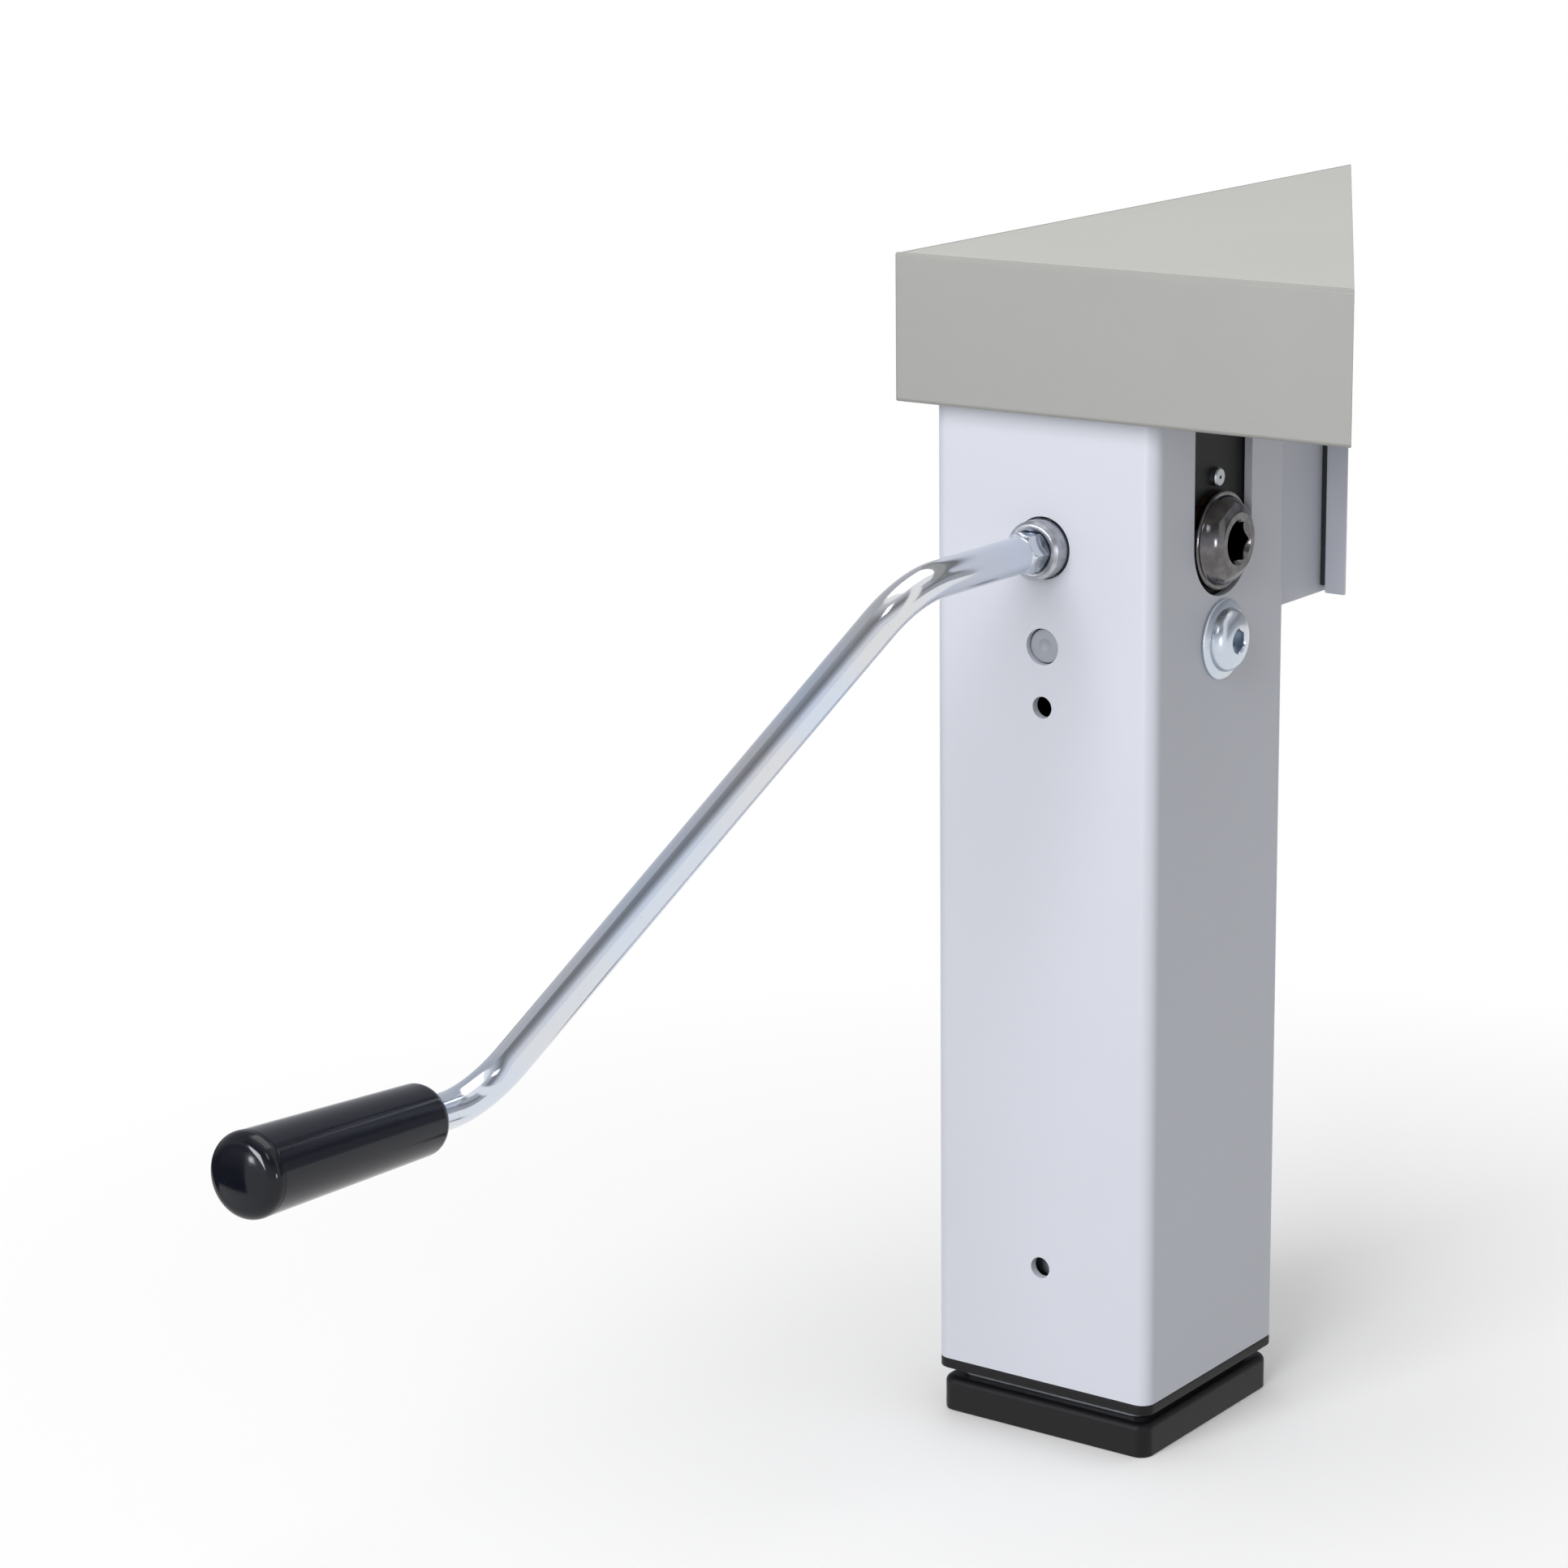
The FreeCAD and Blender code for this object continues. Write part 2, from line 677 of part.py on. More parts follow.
# ---------------------------------------------------------------------------------------
# Outer leg: square tube with the openings for the drives and the fixings
# ---------------------------------------------------------------------------------------
def make_outer_leg():
    tube = new_body("outer_leg_tube")
    top = underside_height - leg_top_gap
    square_tube(tube, leg_width, leg_wall, leg_corner_radius, leg_floor_gap, top)

    # front face: crank hole, dowel hole and two small holes, all on the middle line
    front = sketch_in(tube, "XZ_Plane", half_leg)
    ring(front, input_hole_diameter / 2, (0, hub_height))
    ring(front, dowel_hole_diameter / 2, (0, fixing_height))
    ring(front, accessory_hole_diameter / 2, (0, underside_height - upper_accessory_depth))
    ring(front, accessory_hole_diameter / 2, (0, underside_height - lower_accessory_depth))
    pocket(tube, front, 2 * leg_wall)

    back = sketch_in(tube, "XZ_Plane", -half_leg)
    ring(back, dowel_hole_diameter / 2, (0, fixing_height))
    pocket(tube, back, 2 * leg_wall, reverse=True)

    # right face: a slot that is open at the top, so that the leg slides up past the cross drive
    half_slot = slot_width / 2
    right = sketch_in(tube, "YZ_Plane", half_leg)
    corners = [
        (-half_slot, hub_height),
        (half_slot, hub_height),
        (half_slot, top + OVERCUT),
        (-half_slot, top + OVERCUT),
    ]
    outline(right, corners, {0: half_slot})
    ring(right, fixing_hole_diameter / 2, (0, fixing_height))
    pocket(tube, right, 2 * leg_wall)

    left = sketch_in(tube, "YZ_Plane", -half_leg)
    ring(left, fixing_hole_diameter / 2, (0, fixing_height))
    pocket(tube, left, 2 * leg_wall, reverse=True)

    screws = [flange_button_screw(Y_AXIS, X_AXIS), flange_button_screw(-Y_AXIS, -X_AXIS)]
    keep("leg_screws", grouped(*screws))

    # locating dowels of the gearbox, sunk a little below the leg's front and back faces
    outer_end = half_leg - dowel_recess
    length = outer_end - fixing_hole_reach
    front_dowel = cylinder(dowel_radius, (0, -outer_end, fixing_height), length, Y_AXIS)
    back_dowel = cylinder(dowel_radius, (0, outer_end, fixing_height), length, -Y_AXIS)
    keep("locating_dowels", grouped(front_dowel, back_dowel))


def make_lower_glide():
    """Plastic collar in the mouth of the outer leg, which guides the inner leg."""
    collar = new_body("lower_glide_collar")
    sleeve_width = 2 * (leg_inside - press_gap)
    lip_bottom = leg_floor_gap - glide_lip
    pad(collar, square(sketch_in(collar, "XY_Plane", lip_bottom), leg_width), glide_lip)
    round_edges(collar, leg_corner_radius, is_upright)
    sleeve = square(sketch_in(collar, "XY_Plane", leg_floor_gap), sleeve_width)
    pad(collar, sleeve, lower_glide_length)
    opening = square(
        sketch_in(collar, "XY_Plane", leg_floor_gap + lower_glide_length),
        inner_leg_width + 2 * glide_gap,
    )
    pocket(collar, opening, lower_glide_length + glide_lip)
    inner_half = inner_leg_width / 2 + glide_gap
    outer_half = sleeve_width / 2
    round_edges(
        collar,
        leg_corner_radius - leg_wall + press_gap,
        lambda edge: is_upright(edge) and at(abs(edge.BoundBox.XMin), outer_half),
    )
    round_edges(
        collar,
        inner_leg_radius,
        lambda edge: is_upright(edge) and at(abs(edge.BoundBox.XMin), inner_half),
    )


# ---------------------------------------------------------------------------------------
# Inner leg: tube, foot, upper glide, nut plate, nut
# ---------------------------------------------------------------------------------------
def make_inner_leg():
    tube = new_body("inner_leg_tube")
    square_tube(
        tube, inner_leg_width, inner_leg_wall, inner_leg_radius, foot_thickness, inner_leg_top
    )

    # plastic foot: a flange on the floor and a hollow plug in the tube
    foot = new_body("foot_cap")
    foot_width = leg_width - 2 * foot_inset
    pad(foot, square(sketch_in(foot, "XY_Plane"), foot_width), foot_thickness)
    round_edges(foot, leg_corner_radius, is_upright)
    round_edges(foot, foot_edge_round, lambda edge: at(edge.BoundBox.ZMin, foot_thickness))
    plug_width = inner_leg_width - 2 * inner_leg_wall - 2 * press_gap
    pad(foot, square(sketch_in(foot, "XY_Plane", foot_thickness), plug_width), foot_plug_height)
    round_edges(
        foot,
        inner_leg_radius - inner_leg_wall,
        lambda edge: is_upright(edge) and at(abs(edge.BoundBox.XMin), plug_width / 2),
    )
    hollow = square(
        sketch_in(foot, "XY_Plane", foot_thickness + foot_plug_height),
        plug_width - 2 * plastic_wall,
    )
    pocket(foot, hollow, foot_plug_height + foot_thickness - plastic_wall)

    # plastic sleeve round the top of the inner leg, with a lip over its edge
    glide = new_body("upper_glide_collar")
    glide_width = 2 * (leg_inside - glide_gap)
    glide_top = inner_leg_top + glide_lip
    glide_bottom = inner_leg_top - upper_glide_length
    outside = square(sketch_in(glide, "XY_Plane", glide_bottom), glide_width)
    pad(glide, outside, glide_top - glide_bottom)
    round_edges(glide, leg_corner_radius - leg_wall, is_upright)
    seat = square(
        sketch_in(glide, "XY_Plane", inner_leg_top), inner_leg_width + 2 * press_gap
    )
    pocket(glide, seat, upper_glide_length)
    mouth = square(sketch_in(glide, "XY_Plane", glide_top), inner_leg_width - 2 * plastic_wall)
    pocket(glide, mouth, glide_lip)
    seat_half = inner_leg_width / 2 + press_gap
    round_edges(
        glide,
        inner_leg_radius - glide_gap,
        lambda edge: is_upright(edge) and at(abs(edge.BoundBox.XMin), seat_half),
    )

    # steel plate welded across the tube; the nut hangs in it
    plate_width = inner_leg_width - 2 * inner_leg_wall - 2 * press_gap
    plate = new_body("nut_plate")
    plate_bottom = nut_plate_top - nut_plate_thickness
    pad(plate, square(sketch_in(plate, "XY_Plane", plate_bottom), plate_width),
        nut_plate_thickness)
    round_edges(plate, inner_leg_radius - inner_leg_wall, is_upright)
    holes = sketch_in(plate, "XY_Plane", nut_plate_top)
    ring(holes, nut_barrel_diameter / 2 + press_gap)
    screw_step = nut_screw_circle / 2 / root_of(as_size(2))
    screw_places = [(x * screw_step, y * screw_step) for x in (-1, 1) for y in (-1, 1)]
    for place in screw_places:
        ring(holes, gearbox_screw_diameter / 2 + press_gap, place)
    pocket(plate, holes, nut_plate_thickness)

    nut_top = nut_plate_top + nut_flange_thickness
    bore = spindle_diameter / 2 + running_gap
    nut = turned_profile([
        (bore, nut_barrel_bottom),
        (nut_barrel_diameter / 2, nut_barrel_bottom),
        (nut_barrel_diameter / 2, nut_plate_top),
        (nut_flange_diameter / 2, nut_plate_top),
        (nut_flange_diameter / 2, nut_top - hub_bevel),
        (nut_flange_diameter / 2 - hub_bevel, nut_top),
        (bore, nut_top),
    ])
    clearances = [
        cylinder(
            gearbox_screw_diameter / 2 + press_gap,
            (x, y, nut_plate_top - OVERCUT),
            nut_flange_thickness + 2 * OVERCUT,
        )
        for x, y in screw_places
    ]
    keep("spindle_nut", without(nut, *clearances))

    screw_length = nut_flange_thickness + nut_plate_thickness
    screws = [
        copy_at(round_head_screw(gearbox_screw_diameter, screw_length), x, y, nut_top)
        for x, y in screw_places
    ]
    keep("nut_screws", grouped(*screws))


# ---------------------------------------------------------------------------------------
# Straight bevel gears
# ---------------------------------------------------------------------------------------
PRESSURE_ANGLE = math.radians(20)
FLANK_STEPS = 2


class BevelGear:
    """A straight bevel gear about +Z with its apex at the origin and its big end outwards.

    The teeth are involutes of the back cone, carried to the apex.
    """

    def __init__(self, teeth, mate_teeth):
        module = gear_module.value
        self.teeth = int(teeth.value)
        self.pitch_radius = module * teeth.value / 2
        self.cone = math.atan2(teeth.value, mate_teeth.value)
        self.back_radius = self.pitch_radius / math.cos(self.cone)
        self.tip = self.back_radius + tooth_height.value * module
        self.root = self.back_radius - tooth_depth.value * module
        cone_distance = self.pitch_radius / math.sin(self.cone)
        self.small_end = (cone_distance - face_width.value) / cone_distance

    def on_back_cone(self, radius):
        """(radius, height) of a point that lies the given distance along the back cone."""
        drop = radius - self.back_radius
        return (
            radius * math.cos(self.cone),
            self.pitch_radius / math.tan(self.cone) - drop * math.sin(self.cone),
        )

    def half_angle(self, radius):
        """Half the angle that a tooth covers, as seen along the gear's axis."""
        base = self.back_radius * math.cos(PRESSURE_ANGLE)
        thickness = (math.pi * gear_module.value - tooth_backlash.value) / 2
        rolled = math.acos(min(1.0, base / max(radius, base)))
        flank = math.tan(rolled) - rolled
        start = math.tan(PRESSURE_ANGLE) - PRESSURE_ANGLE
        return (thickness / (2 * self.back_radius) + start - flank) / math.cos(self.cone)

    def flank(self):
        """Points up one flank, from inside the root to outside the tip, on the back cone."""
        inner = self.root - 0.3 * gear_module.value
        outer = self.tip + 0.3 * gear_module.value
        radii = [inner + (outer - inner) * step / FLANK_STEPS for step in range(FLANK_STEPS + 1)]
        return [(self.half_angle(radius), *self.on_back_cone(radius)) for radius in radii]

    def tooth_section(self, level):
        """The closed section of one tooth in the plane at the given height."""
        points = []
        for side, run in ((-1, self.flank()), (1, self.flank()[::-1])):
            for angle, radius, height in run:
                reach = radius * level / height
                points.append(
                    Vector(reach * math.cos(side * angle), reach * math.sin(side * angle), level)
                )
        return Part.makePolygon(points + points[:1])

    def tooth(self):
        """One tooth, cut to the tip cone and to the cones across its two ends."""
        root_radius, root_height = self.on_back_cone(self.root - 0.2 * gear_module.value)
        tip_radius, tip_height = self.on_back_cone(self.tip)
        levels = [tip_height * self.small_end * 0.8, root_height * 1.2]
        wedge = Part.makeLoft([self.tooth_section(level) for level in levels], True, True)
        band = [
            (root_radius * self.small_end, root_height * self.small_end),
            (root_radius, root_height),
            (tip_radius, tip_height),
            (tip_radius * self.small_end, tip_height * self.small_end),
        ]
        return wedge.common(spun(band))

    def shape(self, back_outline, bore=0.0):
        """The whole gear: its root cone, what stands behind it, and its teeth."""
        root_radius, root_height = self.on_back_cone(self.root)
        front = root_height * self.small_end
        half_outline = [
            (bore, front),
            (root_radius * self.small_end, front),
            (root_radius, root_height),
            *back_outline,
            (bore, back_outline[-1][1]),
        ]
        tooth = self.tooth()
        turn = 360 / self.teeth
        teeth = [tooth.rotated(Vector(), Z_AXIS, turn * number) for number in range(self.teeth)]
        return spun(half_outline).multiFuse(teeth).removeSplitter()


def spun(half_outline):
    """A solid of revolution about Z, from (radius, height) corners in plain numbers."""
    points = [Vector(radius, 0, height) for radius, height in half_outline]
    face = Part.Face(Part.makePolygon(points + points[:1]))
    return face.revolve(Vector(), Z_AXIS, 360)


def gear_feature(shape):
    feature = doc.addObject("Part::Feature", "gear")
    feature.Shape = shape
    return feature


# Lengths along a drive axis, counted outwards from the centre of the gearbox
shank_start = crown_pitch_radius + pinion_collar_inset
collar_end = shank_start + pinion_collar_thickness
bush_start = collar_end + glide_gap
shank_end = half_gearbox - glide_gap
sleeve_inner_end = bush_start - free_gap
socket_end = sleeve_inner_end + socket_floor
bush_radius = pinion_shank_radius + running_gap + bush_wall


def pinion():
    """A pinion with a hollow shank; the shank turns in a bush and takes a six-sided plug."""
    gear = BevelGear(pinion_teeth, crown_teeth)
    collar_radius = bush_radius.value - free_gap.value
    back_outline = [
        (gear.on_back_cone(gear.root)[0], shank_start.value),
        (collar_radius, shank_start.value),
        (collar_radius, collar_end.value),
        (pinion_shank_radius.value, collar_end.value),
        (pinion_shank_radius.value, shank_end.value),
    ]
    solid = gear.shape(back_outline)
    # a gap, not a tooth, faces the crown wheel
    solid = solid.rotated(Vector(), Z_AXIS, 180 / gear.teeth)
    socket = hexagon(
        sleeve_hex + 2 * running_gap,
        (0, 0, sleeve_inner_end - glide_gap),
        half_gearbox,
    )
    return without(gear_feature(solid), socket)


def bush():
    return turned_profile([
        (pinion_shank_radius + running_gap, bush_start),
        (bush_radius, bush_start),
        (bush_radius, half_gearbox),
        (pinion_shank_radius + running_gap, half_gearbox),
    ])


def drive_plug():
    """The six-sided inner end that both drive hubs share."""
    return hexagon(sleeve_hex, (0, 0, sleeve_inner_end), half_gearbox - sleeve_inner_end)


def drive_socket(outer_end):
    """The six-sided hole that takes the crank or the cross shaft, with a bevelled mouth."""
    across = drive_hex + 2 * running_gap
    hole = hexagon(across, (0, 0, socket_end), outer_end - socket_end + OVERCUT)
    mouth = turned_profile([
        (0, outer_end - mouth_bevel),
        (across / 2, outer_end - mouth_bevel),
        (across / 2 + mouth_bevel, outer_end),
        (across / 2 + mouth_bevel, outer_end + OVERCUT),
        (0, outer_end + OVERCUT),
    ])
    return joined(hole, mouth)


def make_drives():
    """The input drive towards -Y and the cross drive towards +X."""
    keep("input_pinion", placed(pinion(), X_AXIS, -Y_AXIS))
    keep("cross_pinion", placed(pinion(), Y_AXIS, X_AXIS))
    keep("input_bush", placed(bush(), X_AXIS, -Y_AXIS))
    keep("cross_bush", placed(bush(), Y_AXIS, X_AXIS))

    # input sleeve: a plain round hub with a bevelled rim
    outer_end = half_leg + sleeve_stand_out
    radius = sleeve_diameter / 2
    hub = turned_profile([
        (0, half_gearbox),
        (radius, half_gearbox),
        (radius, outer_end - hub_bevel),
        (radius - hub_bevel, outer_end),
        (0, outer_end),
    ])
    sleeve = without(joined(hub, drive_plug()), drive_socket(outer_end))
    keep("input_sleeve", placed(sleeve, X_AXIS, -Y_AXIS))

    # cross hub: a thin flange with a dome that narrows to the socket
    rim = cross_flange_diameter / 2
    rim_start = half_gearbox + cross_flange_gap
    rim_end = rim_start + cross_flange_thickness
    dome_end = half_leg + cross_stand_out
    rim_bevel = hub_bevel / 2
    hub = turned_profile(
        [
            (0, half_gearbox),
            (radius, half_gearbox),
            (radius, rim_start),
            (rim, rim_start),
            (rim, rim_end - rim_bevel),
            (rim - rim_bevel, rim_end),
            (rim - mouth_bevel, rim_end),
            (radius, dome_end),
            (0, dome_end),
        ],
        {6: radius},
    )
    dome = without(joined(hub, drive_plug()), drive_socket(dome_end))
    keep("cross_hub", placed(dome, Y_AXIS, X_AXIS))


# ---------------------------------------------------------------------------------------
# Spindle: crown wheel on top, thrust bearing under the gearbox floor, end stop below
# ---------------------------------------------------------------------------------------
# Depths below the centre of the gearbox
crown_rim_back = pinion_pitch_radius + gear_module * tooth_depth + crown_rim_thickness
crown_back = crown_rim_back + crown_hub_thickness
chamber_floor = crown_back + free_gap
bearing_top = chamber_floor + spindle_bush_length
bearing_bottom = bearing_top + bearing_height
collar_bottom = bearing_bottom + spindle_collar_thickness
spindle_end = nut_barrel_bottom - lift_stroke - free_gap
journal_radius = spindle_diameter / 2 - 0.5
crown_bore = spindle_diameter / 2 - 2


def make_crown_wheel():
    """The crown wheel with its washer and screw; returns the height of the wheel's flat top."""
    gear = BevelGear(crown_teeth, pinion_teeth)
    root_radius, root_height = gear.on_back_cone(gear.root)
    hub_radius = crown_bore.value * 2
    back_outline = [
        (root_radius, crown_rim_back.value),
        (hub_radius, crown_rim_back.value),
        (hub_radius, crown_back.value),
    ]
    wheel = gear_feature(gear.shape(back_outline, (crown_bore + press_gap).value))
    keep("crown_wheel", placed(wheel, X_AXIS, -Z_AXIS))

    wheel_top = hub_height - root_height * gear.small_end
    washer = turned_profile([
        (end_screw_diameter / 2 + press_gap, wheel_top),
        (crown_bore + washer_thickness, wheel_top),
        (crown_bore + washer_thickness, wheel_top + washer_thickness),
        (end_screw_diameter / 2 + press_gap, wheel_top + washer_thickness),
    ])
    keep("crown_washer", washer)
    screw = round_head_screw(end_screw_diameter, end_screw_length, height_ratio=0.65)
    keep("crown_screw", copy_at(screw, 0, 0, wheel_top + washer_thickness))
    return wheel_top


def make_spindle():
    wheel_top = make_crown_wheel()
    thread_radius = spindle_diameter / 2
    collar_radius = bearing_diameter / 2 - free_gap
    bar = turned_profile([
        (0, spindle_end),
        (thread_radius - hub_bevel, spindle_end),
        (thread_radius, spindle_end + hub_bevel),
        (thread_radius, hub_height - collar_bottom),
        (collar_radius, hub_height - collar_bottom),
        (collar_radius, hub_height - bearing_bottom),
        (journal_radius, hub_height - bearing_bottom),
        (journal_radius, hub_height - crown_back),
        (crown_bore, hub_height - crown_back),
        (crown_bore, wheel_top - glide_gap),
        (0, wheel_top - glide_gap),
    ])
    hole = end_screw_diameter / 2 + press_gap
    depth = end_screw_length + OVERCUT
    top_hole = cylinder(hole, (0, 0, wheel_top - end_screw_length), depth)
    end_hole = cylinder(hole, (0, 0, spindle_end - OVERCUT), depth)
    keep("spindle", without(bar, top_hole, end_hole))

    # end stop: a washer that meets the nut just before the spindle would leave it
    stop_bottom = spindle_end - stop_washer_thickness
    stop = turned_profile([
        (hole, stop_bottom),
        (nut_barrel_diameter / 2 - hub_bevel, stop_bottom),
        (nut_barrel_diameter / 2 - hub_bevel, spindle_end),
        (hole, spindle_end),
    ])
    keep("stop_washer", stop)
    screw = round_head_screw(end_screw_diameter, end_screw_length, height_ratio=0.65)
    keep("stop_screw", copy_at(screw, 0, 0, stop_bottom, turn_over=True))


def make_thrust_bearing():
    """Two flat races with a ring of rollers between them, held apart by a cage."""
    inner = journal_radius + press_gap
    outer = bearing_diameter / 2
    top = hub_height - bearing_top
    bottom = hub_height - bearing_bottom
    middle = (top + bottom) / 2
    roller_radius = roller_diameter / 2
    for label, back, face in (
        ("thrust_race_upper", top, middle + roller_radius + running_gap),
        ("thrust_race_lower", bottom, middle - roller_radius - running_gap),
    ):
        race = turned_profile([(inner, back), (outer, back), (outer, face), (inner, face)])
        keep(label, race)

    cage_height = roller_radius
    cage_inner = inner + free_gap
    cage_outer = outer - free_gap
    cage = turned_profile([
        (cage_inner, middle - cage_height / 2),
        (cage_outer, middle - cage_height / 2),
        (cage_outer, middle + cage_height / 2),
        (cage_inner, middle + cage_height / 2),
    ])
    roller_start = cage_inner + free_gap
    roller_length = cage_outer - free_gap - roller_start
    windows = []
    rollers = []
    count = int(roller_count.value)
    for number in range(count):
        angle = 2 * math.pi * number / count
        outwards = Vector(math.cos(angle), math.sin(angle), 0)
        window_at = (roller_start - press_gap) * outwards.x, (roller_start - press_gap) * outwards.y
        window_radius = roller_radius + press_gap
        window_length = roller_length + 2 * press_gap
        windows.append(cylinder(window_radius, (*window_at, middle), window_length, outwards))
        roller_at = roller_start * outwards.x, roller_start * outwards.y
        rollers.append(cylinder(roller_radius, (*roller_at, middle), roller_length, outwards))
    keep("thrust_rollers", grouped(without(cage, *windows), *rollers))


# ---------------------------------------------------------------------------------------
# Gearbox: a housing split at the level of the drives, hung from the head plate
# ---------------------------------------------------------------------------------------
def drive_bores():
    """The bores for the two bushes, open to the gear chamber."""
    radius = bush_radius + press_gap
    front = cylinder(radius, (0, 0, hub_height), half_gearbox + OVERCUT, -Y_AXIS)
    right = cylinder(radius, (0, 0, hub_height), half_gearbox + OVERCUT, X_AXIS)
    return [front, right]


def housing_half(label, low, high):
    """A square block with rounded corners and the bolt holes at its corners."""
    body = doc.addObject("PartDesign::Body", label + "_block")
    pad(body, square(sketch_in(body, "XY_Plane", low), 2 * half_gearbox), high - low)
    round_edges(body, gearbox_corner_radius, is_upright)
    sketch = sketch_in(body, "XY_Plane", high)
    for place in four_places(gearbox_screw_spacing):
        ring(sketch, gearbox_screw_diameter / 2 + press_gap, place)
    pocket(body, sketch, high - low)
    return body


def fixing_holes():
    """Holes for the two leg screws and the two dowels, which stop short of the bearing."""
    start = (0, 0, fixing_height)
    holes = []
    for axis in (X_AXIS, -X_AXIS):
        radius = flange_screw_diameter / 2 + press_gap
        holes.append(cylinder(radius, start, half_gearbox + OVERCUT, axis))
    for axis in (Y_AXIS, -Y_AXIS):
        holes.append(cylinder(dowel_radius + press_gap, start, half_gearbox + OVERCUT, axis))
    core = cylinder(fixing_hole_reach, (0, 0, gearbox_bottom), gearbox_drop)
    return without(joined(*holes), core)


def make_gearbox():
    chamber = cylinder(
        gear_chamber_radius, (0, 0, hub_height - chamber_floor), chamber_floor + OVERCUT
    )
    bush_outer = journal_radius + running_gap + bush_wall
    spindle_bore = cylinder(
        bush_outer + press_gap, (0, 0, hub_height - bearing_top), spindle_bush_length + OVERCUT
    )
    seat_height = gearbox_drop - bearing_top + OVERCUT
    bearing_seat = cylinder(
        bearing_diameter / 2 + glide_gap, (0, 0, gearbox_bottom - OVERCUT), seat_height
    )
    base = housing_half("gearbox_base", gearbox_bottom, hub_height)
    tools = [chamber, spindle_bore, bearing_seat, fixing_holes(), *drive_bores()]
    keep("gearbox_base", without(base, *tools))

    ceiling = pinion_pitch_radius + gear_module + free_gap
    chamber = cylinder(gear_chamber_radius, (0, 0, hub_height - OVERCUT), ceiling + OVERCUT)
    screw_height = hub_height + bush_radius + side_screw_rise
    screw_hole = cylinder(
        side_screw_diameter / 2 + press_gap,
        (half_gearbox - side_screw_length - free_gap, 0, screw_height),
        side_screw_length + free_gap + OVERCUT,
        X_AXIS,
    )
    cover = housing_half("gearbox_cover", hub_height, gearbox_top)
    keep("gearbox_cover", without(cover, chamber, screw_hole, *drive_bores()))

    spindle_bush = turned_profile([
        (journal_radius + running_gap, hub_height - bearing_top),
        (bush_outer, hub_height - bearing_top),
        (bush_outer, hub_height - chamber_floor),
        (journal_radius + running_gap, hub_height - chamber_floor),
    ])
    keep("spindle_bush", spindle_bush)

    screw = round_head_screw(side_screw_diameter, side_screw_length, height_ratio=0.6)
    screw.Placement = FreeCAD.Placement(Vector(), FreeCAD.Rotation(Z_AXIS, X_AXIS))
    keep("housing_side_screw", bind(screw, x=half_gearbox, z=screw_height))

    bolt_length = underside_height - gearbox_bottom - free_gap
    bolt = round_head_screw(gearbox_screw_diameter, bolt_length)
    bolts = [
        copy_at(bolt, x, y, gearbox_bottom, turn_over=True)
        for x, y in four_places(gearbox_screw_spacing)
    ]
    keep("gearbox_screws", grouped(*bolts))


def make_head_plate():
    """Plate in the top of the leg: screwed to the worktop, it carries the gearbox."""
    plate = new_body("head_plate")
    plate_width = 2 * (leg_inside - free_gap)
    sketch = square(sketch_in(plate, "XY_Plane", gearbox_top), plate_width)
    pad(plate, sketch, head_plate_thickness)
    round_edges(plate, gearbox_corner_radius, is_upright)
    holes = sketch_in(plate, "XY_Plane", underside_height)
    for place in four_places(gearbox_screw_spacing):
        ring(holes, gearbox_screw_diameter / 2 + press_gap, place)
    for place in worktop_screw_places:
        ring(holes, wood_screw_diameter / 2 + press_gap, place)
    pocket(plate, holes, head_plate_thickness)
    for x, y in worktop_screw_places:
        countersink(plate, x, y, wood_screw_diameter / 2)

    screw = countersunk_screw(wood_screw_diameter, wood_screw_length)
    screws = [copy_at(screw, x, y, gearbox_top) for x, y in worktop_screw_places]
    keep("worktop_screws", grouped(*screws))


def countersink(body, x, y, radius):
    """A countersink in the underside of the head plate."""
    cone = body.newObject("PartDesign::SubtractiveCone", "countersink")
    cone.AttachmentSupport = [(origin_plane(body, "XY_Plane"), "")]
    cone.MapMode = "FlatFace"
    sizes = {
        "Radius1": radius * 2 + press_gap,
        "Radius2": radius + press_gap,
        "Height": radius,
        "AttachmentOffset.Base.x": as_size(x),
        "AttachmentOffset.Base.y": as_size(y),
        "AttachmentOffset.Base.z": gearbox_top,
    }
    for name, size in sizes.items():
        cone.setExpression(name, size.text)
    doc.recompute()
    return cone


# ---------------------------------------------------------------------------------------
# Crank: six-sided tip, bent round bar, and a grip that turns on the end of the bar
# ---------------------------------------------------------------------------------------
def crank_frame():
    """The directions across and along the crank's axis, in the plane in which it is bent."""
    hang = math.radians(crank_hang_angle.value)
    return Vector(-math.sin(hang), 0, -math.cos(hang)), -Y_AXIS


